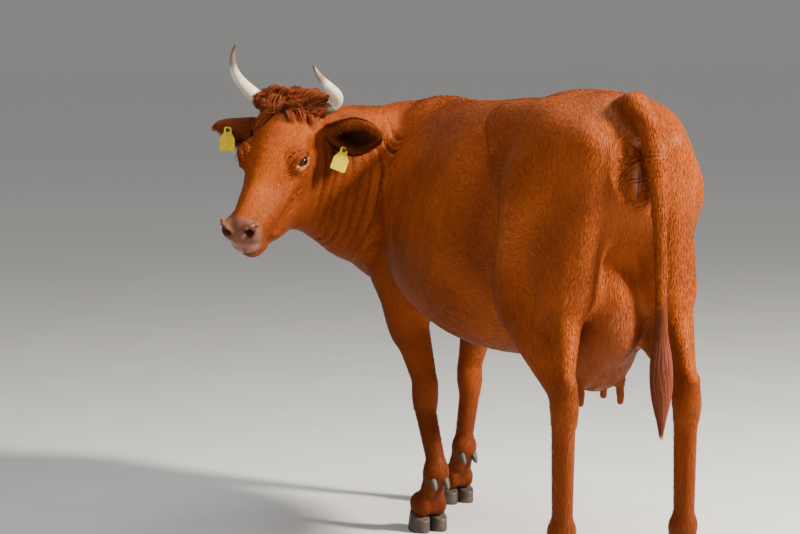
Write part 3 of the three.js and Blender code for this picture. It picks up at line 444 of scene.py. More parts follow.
def add_head():
    head_lump((95, 0, -62), (120, 90, 68), 25)
    head_bone((6, -62, -34), (6, 62, -34), 34, 34, 25)
    head_lump((165, 0, -45), (130, 84, 47), 25)
    head_bone((160, 0, -85), (395, 0, -88), 70, 50, 30)
    head_bone((190, 0, -36), (430, 0, -52), 24, 27, 30)
    for side in (1, -1):
        head_lump((186, side * 80, -50), (48, 30, 36), 22)
        head_bone((205, side * 42, -100), (365, side * 32, -98), 40, 30, 30)
        head_lump((155, side * 56, -138), (92, 27, 88), 30)
        head_bone((108, side * 50, -196), (395, side * 18, -154), 28, 22, 26)
        head_lump((446, side * 34, -60), (28, 25, 30), 14)
        head_bone((15, side * 80, -32), (12, side * 101, -28), 24, 22, 12)
        head_bone((52, side * 98, -84), (56, side * 122, -86), 26, 20, 16)
    head_lump((424, 0, -82), (56, 59, 52), 20)
    head_lump((438, 0, -118), (42, 54, 26), 16)
    head_lump((422, 0, -152), (46, 42, 24), 7)
    head_lump((205, 0, -205), (150, 44, 62), 40)
    for side in (1, -1):
        head_lump((300, side * 38, -140), (100, 22, 60), 24)
    head_lump((30, 0, -90), (70, 82, 85), 30)


TAIL = [
    ((30, -4, 1262), 36), ((-4, -9, 1266), 34), ((-50, -22, 1225), 29), ((-72, -35, 1130), 24),
    ((-76, -45, 1000), 19), ((-72, -50, 850), 16), ((-68, -52, 700), 15),
]
TEATS = [(f, l) for f in (222, 345) for l in (55, -55)]


def add_tail_and_teats():
    points, radii = zip(*TAIL)
    FLESH.chain(points, radii, 16)
    for f, l in TEATS:
        FLESH.bone((f, l, 545), (f, l, 488), 15, 12, 12)


def add_flesh():
    FLESH.add(trunk_distance, (), 40, vec(-400, -600, 300), vec(2000, 600, 1600))
    for side in (1, -1):
        add_hind_quarter(side)
        add_fore_quarter(side)
    FLESH.lump((280, 0, 640), (140, 112, 130), 45)
    FLESH.lump((140, 0, 740), (80, 78, 140), 50)
    body_lump((1400, 0, 715), (140, 90, 105), 90)
    add_neck()
    add_head()
    add_tail_and_teats()


# ---- fine shapes that only the skin has ----------------------------------------------------------
EYE_OUT = unit(vec(0.2, 0.93, 0.3))          # the way the left eye looks, on the head
EYE_ALONG = unit(vec(-0.93, 0.27, -0.22))     # from the inner corner to the outer one


def eye_frame(side):
    """Centre of the eyeball and axes along, up the lids and out, in this frame."""
    mirror = vec(1, side, 1)
    out = unit((EYE_OUT * mirror) @ HEAD)
    along = (EYE_ALONG * mirror) @ HEAD
    along = unit(along - out * (along @ out))
    up = unit(np.cross(out, along)) * side
    if up @ HEAD[2] < 0:
        up = -up
    return on_head(EYE_AT[0], side * EYE_AT[1], EYE_AT[2]), along, up, out


def lid_line(side, upper, count=15, radius=EYE_RADIUS + 1.5, wide=1.0):
    """Points of a lid's edge, on the eyeball, from the inner corner to the outer one."""
    center, along, up, out = eye_frame(side)
    s = np.linspace(-1, 1, count)
    reach = 1.25 * s * wide
    lift = (0.11 if upper else -0.40) * (1 - np.abs(s) ** 2.2)
    if upper:
        lift = lift + 0.06 * s * (1 - s * s)
    x, y = np.sin(reach), np.sin(lift)
    z = np.sqrt(np.maximum(1 - x * x - y * y, 0.02))
    return center + radius * (x[:, None] * along + y[:, None] * up + z[:, None] * out)


# over (+) or under the eye's centre, its sag, out of the centre, its sag, radius, inner and outer end
EYE_FOLDS = (
    (17, 0.012, 12, 0.009, 5.5, -26, 24),
    (25, 0.012, 8, 0.009, 5, -26, 24),
    (-14, -0.010, 11, 0.010, 4, -28, 22),
)


def add_eye_folds(side):
    center, along, up, out = eye_frame(side)
    FLESH.lump(center + out * 17, (22, 9.5, 16), 4, np.stack([along, up, out]), cut=True)
    for upper, radius in ((True, 4.2), (False, 3.0)):
        line = lid_line(side, upper) + out * 0.5
        FLESH.chain(line, [radius] * len(line), 3.5)
    # the inner corner, drawn out towards the muzzle
    inner = center - along * 24 + out * 13 - up * 2
    FLESH.bone(inner, inner - along * 13 - up * 6 - out * 3, 3.0, 2.0, 4, cut=True)
    for lift, sag, stand, fall, radius, first, last in EYE_FOLDS:
        points = [center + along * s + up * (lift - sag * s * s) + out * (stand - fall * s * s)
                  for s in np.linspace(first, last, 9)]
        FLESH.chain(points, [radius] * len(points), 7)


def add_muzzle_folds(side):
    # rim of the nostril, then its comma-shaped opening
    head_chain(side, [(464, 16, -49), (463, 31, -41), (452, 45, -37), (437, 54, -40), (430, 57, -50)],
               [6, 7, 7.5, 7, 4], 10)
    head_chain(side, [(476, 23, -58), (475, 33, -51), (465, 44, -46), (450, 53, -44)],
               [7, 9, 7, 3], 4, cut=True)
    head_chain(side, [(468, 33, -50), (438, 28, -66)], [9, 5], 5, cut=True)
    # mouth line, then the fold behind its corner
    head_chain(side, [(485, 0, -128), (478, 26, -130), (455, 50, -134), (425, 60, -140),
                      (398, 58, -150), (380, 52, -158)], [3.2, 3.2, 3.2, 3, 2.6, 1.5], 4, cut=True)
    head_chain(side, [(388, 50, -140), (370, 48, -166)], [7, 7], 14)
    # crest of the cheek bone, the hollow under it and the vein that crosses the cheek
    head_chain(side, [(240, 74, -92), (345, 54, -104)], [9, 5], 18)
    head_chain(side, [(262, 92, -132), (330, 74, -140)], [16, 10], 26, cut=True)
    head_chain(side, [(222, 76, -140), (262, 66, -128), (330, 57, -88)], [5, 4.5, 3], 8)
    # temple hollow behind the eye
    head_lump((128, side * 106, -60), (26, 14, 16), 24, cut=True)


def add_middle_folds():
    """Two folds of the throat and the groove of the upper lip."""
    for a, c, radius in ((190, -258, 16), (120, -262, 14)):
        head_bone((a, 16, c), (a + 30, 22, c + 10), radius, radius - 3, 22)
    head_bone((478, -4, -90), (470, 4, -116), 2, 2, 6, cut=True)


def add_rear_folds():
    """The soft swellings under the tail."""
    FLESH.lump((-38, 4, 1086), (19, 15, 50), 24)
    FLESH.lump((-34, 2, 1180), (14, 16, 16), 22)


def neck_station(points):
    """How far along the neck's arc a point lies, 0 at the withers and 1 at the poll."""
    t = np.linspace(0, 1.05, 43)
    arc = neck_point(t)[:, :2]
    gap = ((points[:, None, :2] - arc[None]) ** 2).sum(2)
    return t[gap.argmin(1)]


def eye_wrinkles(points, side):
    """Curved folds of skin over and under the eye, and fine ones at its corners."""
    center, along, up, out = eye_frame(side)
    off = points - center
    x, y, z = off @ along, off @ up, off @ out
    high = y + 0.011 * x * x
    low = y - 0.010 * x * x
    near = (1 - smooth(np.abs(x), 26, 52)) * smooth(z, -34, -18) * (1 - smooth(np.abs(y), 44, 60))
    above = band(high, 13, 17, 40, 54) * np.sin(high / 1.75 + 0.06 * x)
    below = band(-low, 11, 15, 26, 36) * np.sin(low / 1.5)
    corner = band(-x, 22, 32, 50, 70) * (1 - smooth(np.abs(y + 4), 10, 24))
    return 2.8 * near * above + 2.0 * near * below + 2.0 * corner * np.sin(y / 1.6)


def neck_folds(points):
    """Upright folds where the neck is bent, on its inner side."""
    x, y, z = points.T
    run = points @ unit(vec(-0.42, 0.9, 0)) + 0.10 * (z - 1000)
    run = run + 8 * np.sin(z / 70) + 5 * np.sin(z / 31 + x / 40)
    inner = band(y, 200, 290, 480, 560) * (1 - smooth(x, 1230, 1330))
    wave = np.abs(np.sin(math.pi * run / 29)) ** 0.75
    uneven = 0.75 + 0.25 * np.sin(run / 37 + 2) + 0.2 * np.sin(z / 45 + run / 23)
    return inner * band(z, 790, 880, 1130, 1220) * uneven * (7.0 - 14.0 * wave)


def relief(points):
    """How far the skin stands in (+) or out (-) of the field: folds, ribs, hollows, veins."""
    out = np.zeros(len(points))
    near = np.flatnonzero((points[:, 0] > 980) & (points[:, 1] > 120) & (points[:, 2] > 560))
    out[near] += neck_folds(points[near])
    for side in (1, -1):
        out += eye_wrinkles(points, side)
    f, l, u = straightened(points).T
    far = np.abs(l)
    flank = smooth(far, 150, 220)
    ribs = band(f, 560, 650, 1030, 1120) * band(u, 640, 740, 1050, 1150)
    out += flank * ribs * 1.1 * np.sin((f + 0.25 * (u - 900)) / 13.0)
    # hollow of the flank, before the hip
    out += 12 * flank * np.exp(-((f - 560) / 70) ** 2 - ((u - 1120) / 70) ** 2)
    # shallow groove before the thigh
    groove = np.exp(-((f - 395 - 0.35 * (u - 900)) / 40) ** 2) * band(u, 640, 720, 960, 1060)
    out += 6 * groove * smooth(far, 140, 200)
    # the long muscles of the thigh, seen from behind
    thigh = band(u, 660, 760, 1030, 1120) * (1 - smooth(f, 30, 160)) * smooth(far, 60, 90)
    out += thigh * 3 * np.exp(-((far - 150) / 20) ** 2)
    # veins of the udder
    udder = (1 - smooth(u, 640, 700)) * band(f, 60, 120, 420, 470) * smooth(130 - far, 0, 20)
    out -= udder * 1.6 * np.abs(np.sin(f / 17 + 2 * np.sin(u / 23) + l / 31)) ** 4
    return out


# ---- meshing -------------------------------------------------------------------------------------
CORNERS = [(i & 1, (i >> 1) & 1, (i >> 2) & 1) for i in range(8)]


def surface_net(d, low, step):
    """Vertices and quads of the zero surface of a grid."""
    inside = d < 0
    shape = tuple(n - 1 for n in d.shape)
    count = np.zeros(shape, np.int8)
    for i, j, k in CORNERS:
        count += inside[i:shape[0] + i, j:shape[1] + j, k:shape[2] + k]
    active = (count > 0) & (count < 8)
    cells = np.argwhere(active)
    number = np.full(shape, -1, np.int64)
    number[active] = np.arange(len(cells))
    total = np.zeros((len(cells), 3))
    crossings = np.zeros(len(cells))
    for axis in range(3):
        for corner in CORNERS:
            if corner[axis]:
                continue
            other = list(corner)
            other[axis] = 1
            d0 = d[tuple((cells + corner).T)]
            d1 = d[tuple((cells + other).T)]
            crossed = (d0 < 0) != (d1 < 0)
            place = np.tile(np.array(corner, float), (len(cells), 1))
            place[:, axis] += np.where(crossed, d0 / np.where(crossed, d0 - d1, 1), 0)
            total[crossed] += place[crossed]
            crossings[crossed] += 1
    points = (cells + total / crossings[:, None]) * step + low
    quads = []
    for axis in range(3):
        a, b = (axis + 1) % 3, (axis + 2) % 3
        near, far = [slice(None)] * 3, [slice(None)] * 3
        near[axis], far[axis] = slice(0, -1), slice(1, None)
        edges = np.argwhere(inside[tuple(near)] != inside[tuple(far)])
        keep = (edges[:, a] > 0) & (edges[:, b] > 0)
        keep &= (edges[:, a] < d.shape[a] - 1) & (edges[:, b] < d.shape[b] - 1)
        edges = edges[keep]
        flip = inside[tuple(far)][tuple(edges.T)]
        corners = []
        for da, db in ((1, 1), (0, 1), (0, 0), (1, 0)):
            cell = edges.copy()
            cell[:, a] -= da
            cell[:, b] -= db
            corners.append(number[tuple(cell.T)])
        quad = np.stack(corners, 1)
        quad[flip] = quad[flip][:, ::-1]
        quads.append(quad)
    return points, np.concatenate(quads)


def triangles_of(quads, points):
    """Each quad split along its shorter diagonal."""
    first = np.linalg.norm(points[quads[:, 0]] - points[quads[:, 2]], axis=1)
    second = np.linalg.norm(points[quads[:, 1]] - points[quads[:, 3]], axis=1)
    swap = second < first
    q = quads.copy()
    q[swap] = np.roll(q[swap], 1, axis=1)
    return np.concatenate([q[:, [0, 1, 2]], q[:, [0, 2, 3]]])


def refine(points, faces, chosen):
    """Splits every edge whose two ends are chosen, with no crack at the border."""
    edges = np.sort(np.concatenate([faces[:, [0, 1]], faces[:, [1, 2]], faces[:, [2, 0]]]), axis=1)
    split = chosen[edges].all(1)
    key = edges[:, 0] * len(points) + edges[:, 1]
    unique, index = np.unique(key[split], return_inverse=True)
    ends = np.stack([unique // len(points), unique % len(points)], 1)
    middle = np.full(len(edges), -1, np.int64)
    middle[split] = len(points) + index
    points = np.concatenate([points, points[ends].mean(1)])
    m = middle.reshape(3, -1).T
    parts = []
    for turn in range(3):
        a, b, c = (faces[:, (turn + i) % 3] for i in range(3))
        ab, bc, ca = (m[:, (turn + i) % 3] for i in range(3))
        one = (ab >= 0) & (bc < 0) & (ca < 0)
        parts += [np.stack([a, ab, c], 1)[one], np.stack([ab, b, c], 1)[one]]
        two = (ab >= 0) & (bc >= 0) & (ca < 0)
        parts += [np.stack(t, 1)[two] for t in ((a, ab, c), (ab, bc, c), (ab, b, bc))]
        if turn == 0:
            whole = (ab < 0) & (bc < 0) & (ca < 0)
            parts.append(faces[whole])
            three = (ab >= 0) & (bc >= 0) & (ca >= 0)
            corners = ((a, ab, ca), (ab, b, bc), (ca, bc, c), (ab, bc, ca))
            parts += [np.stack(t, 1)[three] for t in corners]
    return points, np.concatenate(parts)


PROBES = np.array([(1, -1, -1), (-1, -1, 1), (-1, 1, -1), (1, 1, 1)], float)


def probe(points, reach=0.5):
    """Value and gradient of the field, from four places round each point."""
    around = (points[None] + reach * PROBES[:, None]).reshape(-1, 3)
    value = FLESH(around).reshape(4, -1)
    return value.mean(0), value.T @ PROBES / (4 * reach)


def gradient(points):
    return probe(points)[1]


def draw_to(points, depth, rounds=2):
    """Points moved onto the level of the field that lies depth inside it, folds and all."""
    for _ in range(rounds):
        value, g = probe(points)
        d = value + depth + relief(points)
        steep = np.maximum((g * g).sum(1), 0.25)
        points = points - g * np.clip(d / steep, -6, 6)[:, None]
    return points


def skin_net():
    """The skin, finer at the head, the neck's folds, under the tail and at the feet."""
    low, high = vec(-190, -460, 20), vec(1750, 1010, 1440)
    d = FLESH.grid(low, high, GRID) + COAT_DEPTH
    points, quads = surface_net(d, low, GRID)
    faces = triangles_of(quads, points)
    points = draw_to(points, COAT_DEPTH, 1)
    for level in range(2):
        local = head_local(points)
        chosen = (local[:, 0] > -40) & (np.abs(local[:, 1]) < 150) & (local[:, 2] > -300)
        x, y, z = points.T
        if level == 0:
            fold = (x > 1040) & (y > 230) & (z > 780) & (x < 1330)
            rear = (x < -25) & (z > 1010) & (z < 1215)
            chosen |= fold | rear | (z < 130)
        else:
            eye = np.linalg.norm(np.abs(local) * vec(1, 1, -1) - vec(195, 98, -45), axis=1) < 62
            face = (local[:, 0] > 355) & (local[:, 2] > -185)
            under_tail = np.linalg.norm(points - vec(-58, -10, 1110), axis=1) < 95
            chosen = (chosen & (eye | face)) | under_tail
        points, faces = refine(points, faces, chosen)
        points = draw_to(points, COAT_DEPTH, 2)
    return points, faces


# ---- shapes into Blender -------------------------------------------------------------------------
def mesh_object(name, points, faces, smooth_shade=True):
    """points in the row's metres; faces as an array of triangles or quads."""
    mesh = bpy.data.meshes.new(name)
    faces = np.asarray(faces, np.int32)
    width = faces.shape[1]
    mesh.vertices.add(len(points))
    mesh.vertices.foreach_set("co", np.asarray(points, np.float32).ravel())
    mesh.loops.add(faces.size)
    mesh.loops.foreach_set("vertex_index", faces.ravel())
    mesh.polygons.add(len(faces))
    mesh.polygons.foreach_set("loop_start", np.arange(0, faces.size, width, dtype=np.int32))
    mesh.update(calc_edges=True)
    mesh.polygons.foreach_set("use_smooth", np.full(len(faces), smooth_shade))
    piece = bpy.data.objects.new(name, mesh)
    bpy.context.scene.collection.objects.link(piece)
    return piece


def paint(piece, name, colours):
    """A colour for each vertex, as an attribute the material reads."""
    layer = piece.data.attributes.new(name, "FLOAT_COLOR", "POINT")
    values = np.ones((len(colours), 4), np.float32)
    values[:, :3] = colours
    layer.data.foreach_set("color", values.ravel())


def finish_piece(piece, nodes, material):
    piece.data.materials.append(material)
    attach(piece, "root")
    if nodes:
        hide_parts(*nodes)


def add_fine(node, points, faces, material, colours=None, smooth_shade=True):
    """The fine piece that takes the place of one node."""
    piece = mesh_object(f"{node}_fine", row(points), faces, smooth_shade)
    if colours is not None:
        paint(piece, "Markings", colours)
    finish_piece(piece, (node,), material)


def facing_out(points, faces):
    """The faces of a closed net, turned over if they face inwards."""
    corners = points[faces] - points.mean(0)
    volume = np.einsum("ij,ij->i", corners[:, 0], np.cross(corners[:, 1], corners[:, 2])).sum()
    return faces[:, ::-1] if volume < 0 else faces


def closed_net(rings, first, last):
    """Points and triangles of a net over rings, of shape (rows, around, 3), closed by a point at each end."""
    rows, around = rings.shape[:2]
    count = rows * around
    index = np.arange(count).reshape(rows, around)
    a, b = index[:-1], index[1:]
    quads = np.stack([a, np.roll(a, -1, 1), np.roll(b, -1, 1), b], -1).reshape(-1, 4)
    faces = np.concatenate([
        quads[:, [0, 1, 2]], quads[:, [0, 2, 3]],
        np.stack([np.full(around, count), np.roll(index[0], -1), index[0]], 1),
        np.stack([np.full(around, count + 1), index[-1], np.roll(index[-1], -1)], 1),
    ])
    points = np.concatenate([rings.reshape(-1, 3), [first, last]])
    return points, facing_out(points, faces)


# ---- materials -----------------------------------------------------------------------------------
class Nodes:
    """A material's node tree, built in short calls."""

    def __init__(self, name, **settings):
        self.material = bpy.data.materials.new(name)
        self.material.use_nodes = True
        self.tree = self.material.node_tree
        self.shader = self.tree.nodes["Principled BSDF"]
        self.set(**settings)

    def set(self, **settings):
        for key, value in settings.items():
            self.shader.inputs[key.replace("_", " ")].default_value = value

    def add(self, kind, **values):
        node = self.tree.nodes.new(kind)
        for key, value in values.items():
            if hasattr(node, key):
                setattr(node, key, value)
            else:
                node.inputs[key.replace("_", " ")].default_value = value
        return node

    def link(self, output, target):
        self.tree.links.new(output, target)

    def place(self):
        return self.add("ShaderNodeNewGeometry").outputs["Position"]

    def attribute(self, name, output="Color"):
        return self.add("ShaderNodeAttribute", attribute_name=name).outputs[output]

    def noise(self, scale, detail=3, stretch=None, roughness=0.5):
        node = self.add("ShaderNodeTexNoise", Scale=scale, Detail=detail, Roughness=roughness)
        source = self.place()
        if stretch:
            turn = self.add("ShaderNodeMapping", Scale=stretch)
            self.link(source, turn.inputs["Vector"])
            source = turn.outputs["Vector"]
        self.link(source, node.inputs["Vector"])
        return node.outputs["Fac"]

    def ramp(self, value, *stops):
        """Two stops, each a position and a colour or a grey."""
        node = self.add("ShaderNodeValToRGB")
        for element, (position, colour) in zip(node.color_ramp.elements, stops):
            element.position = position
            element.color = (*(colour if isinstance(colour, tuple) else (colour,) * 3), 1)
        self.link(value, node.inputs["Fac"])
        return node.outputs["Color"]

    def mix(self, mode, factor, a, b):
        node = self.add("ShaderNodeMix", data_type="RGBA", blend_type=mode)
        for socket, value in ((node.inputs[0], factor), (node.inputs[6], a), (node.inputs[7], b)):
            if isinstance(value, float):
                socket.default_value = value
            elif isinstance(value, tuple):
                socket.default_value = (*value, 1)
            else:
                self.link(value, socket)
        return node.outputs[2]

    def base(self, colour, *factors):
        """The base colour, as the product of colours."""
        for factor in factors:
            colour = self.mix("MULTIPLY", 1.0, colour, factor)
        self.link(colour, self.shader.inputs["Base Color"])

    def bump(self, height, strength, distance):
        node = self.add("ShaderNodeBump", Strength=strength, Distance=distance)
        self.link(height, node.inputs["Height"])
        self.link(node.outputs["Normal"], self.shader.inputs["Normal"])


def hide_material(name, rough, low, high, fine, bump):
    """Skin or coat: the colours painted on the vertices, painted light and shade among them, varied by noise,
    with a fine bump.
    """
    m = Nodes(name, Roughness=rough, IOR=1.45, Specular_IOR_Level=0.17, Specular_Tint=(1.0, 0.60, 0.30, 1))
    marks = m.attribute("Markings")
    broad = m.ramp(m.noise(7, 4), (0.3, low), (0.7, high))
    grain = m.ramp(m.noise(fine, 3, roughness=0.65), (0.3, 0.80), (0.72, 1.16))
    m.base(marks, broad, grain)
    m.bump(m.noise(fine * 1.3, 3, roughness=0.7), bump, 0.0012)
    return m


def skin_material():
    m = hide_material("hide", 0.56, 0.86, 1.12, 420, 0.35)
    rough = m.ramp(m.attribute("Wet", "Fac"), (0.0, 0.56), (1.0, 0.24))
    m.link(rough, m.shader.inputs["Roughness"])
    return m.material


def coat_material():
    m = hide_material("coat_hair", 0.42, 0.85, 1.15, 260, 0.15)
    m.set(Sheen_Weight=0.03, Sheen_Roughness=0.4, Sheen_Tint=(1.0, 0.62, 0.38, 1))
    return m.material


def horn_material():
    m = Nodes("horn", Roughness=0.32, Coat_Weight=0.15, Coat_Roughness=0.3)
    m.base(m.attribute("Markings"), m.ramp(m.noise(90, 4, roughness=0.7), (0.28, 0.72), (0.62, 1.08)))
    m.bump(m.noise(260, 4, roughness=0.7), 0.35, 0.0008)
    return m.material


def hoof_material():
    m = Nodes("hoof", Roughness=0.6)
    dust = m.ramp(m.noise(38, 5, roughness=0.6), (0.3, (0.022, 0.016, 0.013)), (0.75, (0.080, 0.056, 0.040)))
    rings = m.ramp(m.noise(1.0, 3, stretch=(20, 20, 330)), (0.3, 0.75), (0.7, 1.2))
    m.base(dust, rings)
    m.bump(m.noise(1.0, 3, stretch=(30, 30, 420)), 0.6, 0.0012)
    return m.material


def tag_material():
    m = Nodes("tag_plastic", Roughness=0.42, Specular_IOR_Level=0.3)
    scuff = m.noise(120, 5, roughness=0.7)
    yellow = m.ramp(scuff, (0.35, (0.62, 0.44, 0.004)), (0.62, (0.84, 0.62, 0.006)))
    m.base(yellow, m.attribute("Markings"))
    m.link(m.ramp(scuff, (0.3, 0.55), (0.7, 0.3)), m.shader.inputs["Roughness"])
    m.bump(m.noise(600, 2), 0.08, 0.0004)
    return m.material


def eye_material():
    m = Nodes("eyeball", Roughness=0.08, IOR=1.38, Specular_IOR_Level=0.22,
              Coat_Weight=0.06, Coat_Roughness=0.03)
    m.base(m.attribute("Markings"), m.ramp(m.noise(700, 3), (0.3, 0.7), (0.7, 1.25)))
    return m.material


def floor_material():
    """Grey round the cow, painted paler with the distance: painted light where the lamps' light falls off."""
    m = Nodes("floor", Roughness=0.85)
    near = m.ramp(m.noise(3, 3), (0.3, 0.58), (0.7, 0.62))
    reach = m.add("ShaderNodeVectorMath", operation="LENGTH")
    m.link(m.place(), reach.inputs[0])
    span = m.add("ShaderNodeMapRange", From_Min=3.0, From_Max=16.0)
    m.link(reach.outputs["Value"], span.inputs["Value"])
    m.base(m.mix("MIX", span.outputs["Result"], near, (0.97, 0.97, 0.97)))
    return m.material


# ---- colours of hide and coat, painted light and shade -------------------------------------------
CHESTNUT = vec(0.262, 0.051, 0.0076)
DEEP = vec(0.100, 0.018, 0.0062)
PAINTED_LIT_GOLD = vec(0.36, 0.074, 0.009)
LEG = vec(0.115, 0.023, 0.008)
EAR_BROWN = vec(0.175, 0.036, 0.012)
EAR_INSIDE = vec(0.075, 0.024, 0.015)
MUZZLE = vec(0.155, 0.066, 0.042)
LIP = vec(0.36, 0.17, 0.13)
BARE = vec(0.23, 0.058, 0.022)
REAR_SKIN = vec(0.24, 0.088, 0.050)
PALE = vec(0.52, 0.20, 0.065)
CLEFT_SHADE = vec(0.035, 0.016, 0.012)
OPENING_SHADE = vec(0.035, 0.015, 0.012)
LID_RIM = vec(0.03, 0.012, 0.01)
POLL_HAIR = vec(0.155, 0.030, 0.0095)
SWITCH_HAIR = vec(0.12, 0.034, 0.022)
LASH = vec(0.085, 0.024, 0.010)


def blend_to(colours, target, amount):
    return colours + (target - colours) * np.clip(amount, 0, 1)[:, None]


def lump_at(local, center, radii):
    """1 at the centre of an ellipsoid, 0 outside it."""
    q = np.linalg.norm((local - vec(*center)) / vec(*radii), axis=1)
    return 1 - smooth(q, 0.55, 1.15)


def pad_reach(side):
    """How far down towards the muzzle's pad a point of head_mirrored lies."""
    a, b, c = side.T
    return a + 0.30 * c + 0.12 * b


def lid_gap(points, line):
    """The points near a lid's edge, and how far each of them lies from it."""
    near = np.flatnonzero(np.linalg.norm(points - line.mean(0), axis=1) < 60)
    return near, np.sqrt(((points[near][:, None] - line[None]) ** 2).sum(2)).min(1)


def body_marks_and_painted_light(points):
    """Colours of trunk, legs, udder and tail, and their amounts at the points, in order; some of them are
    painted light and shade.
    """
    f, l, u = straightened(points).T
    far = np.abs(l)
    wander = 0.5 + 0.5 * np.sin(points[:, 0] / 97 + 1.7 * np.sin(points[:, 2] / 83) + points[:, 1] / 61)
    yield DEEP, 0.42 * wander
    # painted light: a lighter golden band along the upper flanks, as if lit, varied by the wander pattern
    painted_lit_gold = np.exp(-((u - 1010) / 150) ** 2) * smooth(far, 120, 230) * (0.35 + 0.65 * (1 - wander))
    yield PAINTED_LIT_GOLD, 0.45 * painted_lit_gold
    # darker legs, and painted shade in a band along the underside of the belly, across the legs at that
    # height too
    yield LEG, 0.85 * (1 - smooth(u, 120, 520))
    yield DEEP, 0.4 * band(u, 500, 560, 560, 640)
    # udder, teats and the bare skin under the tail
    yield BARE, 0.62 * band(u, 440, 470, 690, 790) * band(f, 20, 70, 415, 470) * (1 - smooth(far, 108, 138))
    near = np.min([np.hypot(points[:, 0] - tf, points[:, 1] - tl) for tf, tl in TEATS], axis=0)
    yield BARE * vec(0.85, 0.72, 0.7), (1 - smooth(near, 17, 26)) * (1 - smooth(u, 515, 545))
    rear = lump_at(points, (-54, 2, 1084), (26, 17, 46)) + lump_at(points, (-46, 2, 1180), (18, 15, 14))
    yield REAR_SKIN, 0.7 * np.clip(rear, 0, 1)
    # painted shade in the clefts under the tail
    cleft_shade = lump_at(points, (-54, 1, 1076), (30, 2.6, 36)) + lump_at(points, (-50, 2, 1180), (20, 4, 3.5))
    cleft_shade += 0.7 * lump_at(points, (-54, 1, 1044), (26, 6, 11))
    yield CLEFT_SHADE, 0.85 * np.clip(cleft_shade, 0, 1)


def head_marks_and_painted_light(points):
    """As body_marks_and_painted_light, for the head."""
    side = head_mirrored(points)
    a, b, c = side.T
    on = np.where((a > -60) & (b < 190) & (c > -330) & (points[:, 2] > 780), 1.0, 0.0)
    yield POLL_HAIR, on * 0.75 * lump_at(side, (10, 0, 10), (80, 95, 70))
    yield DEEP, on * 0.35 * band(-c, 30, 120, 170, 260)
    yield DEEP, on * 0.45 * lump_at(side, (199, 101, -44), (48, 30, 34))
    # muzzle pad, its upper edge, lip and chin, then painted shade in the nostril and along the mouth line
    yield MUZZLE, on * 0.92 * smooth(pad_reach(side), 405, 436)
    yield MUZZLE * vec(1.25, 1.2, 1.25), on * 0.5 * smooth(a - 0.1 * c, 462, 482)
    yield LIP, on * 0.55 * lump_at(side, (474, 0, -108), (26, 62, 22))
    yield PALE * 0.8, on * 0.5 * lump_at(side, (440, 22, -170), (40, 40, 20))
    yield OPENING_SHADE, on * 0.9 * lump_at(side, (464, 38, -50), (17, 20, 14))
    yield OPENING_SHADE, on * 0.9 * lump_at(side, (478, 20, -130), (40, 60, 5))
    # painted shade in the skin's creases, on the front of the cow
    ahead = straightened(points)[:, 0]
    yield DEEP * 0.6, 0.65 * smooth(relief(points), 0.6, 5.0) * smooth(ahead, 1080, 1160)
    # pale under the eyes; painted shade over them, in the crease under the upper folds
    for way in (1, -1):
        center, along, up, _ = eye_frame(way)
        x, y = (points - center) @ along, (points - center) @ up
        near = np.linalg.norm(points - center, axis=1) < 70
        yield PALE, 0.7 * near * (1 - smooth(np.abs(x - 2), 16, 34)) * band(-y, 6, 10, 15, 27)
        yield DEEP * 0.35, 0.85 * near * (1 - smooth(np.abs(x), 20, 36)) * band(y, 8, 11, 13, 19)


def markings_and_painted_light(points):
    """Colour of hide and coat at points on the skin, painted light and shade included."""
    colours = np.tile(CHESTNUT, (len(points), 1))
    for marks in (body_marks_and_painted_light(points), head_marks_and_painted_light(points)):
        for colour, amount in marks:
            colours = blend_to(colours, colour, amount)
    # rims of the lids: dark at the edge, then pale
    for way in (1, -1):
        for is_upper, pale in ((True, 0.1), (False, 0.7)):
            near, gap = lid_gap(points, lid_line(way, is_upper, count=41))
            rim = blend_to(colours[near], PALE, pale * (1 - smooth(gap, 4, 15)))
            colours[near] = blend_to(rim, LID_RIM, 0.9 * (1 - smooth(gap, 1.8, 3.8)))
    return np.clip(colours, 0.004, 0.95)


def wetness(points):
    """How wet the skin is: 0.8 on the muzzle's pad, 0 elsewhere."""
    side = head_mirrored(points)
    a, b, c = side.T
    head = np.where((a > 350) & (b < 120) & (c > -260), 1.0, 0.0)
    return head * 0.8 * smooth(pad_reach(side), 415, 440) * smooth(c, -150, -120)


# ---- camera, lights, floor -----------------------------------------------------------------------
CAMERA_AT = vec(-5609.4, 2205.8, 1385.7)
CAMERA_LOOK = vec(0.958, -0.27355, -0.0861)
CAMERA_UP = vec(0.07987, -0.03385, 0.99623)
FIELD_OF_VIEW = 2 * math.atan(400 / 2400)         # half the picture's width over the focal length, pixels
CLIP_END = 1500                  # metres, past the floor's far edge
FLOOR_REACH = 500                # half the floor's side, metres
# name, place, what it looks at, diameter and power, colour; the key is high behind the right hip
LIGHTS = (
    ("key", (-2600, -3300, 3900), (500, 0, 900), 0.8, 1350, (1.0, 0.93, 0.80)),
    ("fill", (-4200, 3600, 2600), (500, 100, 900), 3.5, 60, (1.0, 0.97, 0.93)),
    ("top", (700, 300, 4600), (600, 0, 900), 3.0, 150, (1.0, 0.99, 0.96)),
)


def frame_matrix(position, look, up):
    look = unit(look)
    right = unit(np.cross(look, up))
    up = np.cross(right, look)
    m = np.eye(4)
    m[:3, 0], m[:3, 1], m[:3, 2], m[:3, 3] = turned(right), turned(up), -turned(look), row(position)
    return Matrix(m.tolist())


def add_camera():
    data = bpy.data.cameras.new("camera")
    data.sensor_fit = "HORIZONTAL"
    data.angle = FIELD_OF_VIEW
    data.clip_end = CLIP_END
    camera = bpy.data.objects.new("camera", data)
    bpy.context.scene.collection.objects.link(camera)
    camera.matrix_world = frame_matrix(CAMERA_AT, CAMERA_LOOK, CAMERA_UP)
    bpy.context.scene.camera = camera


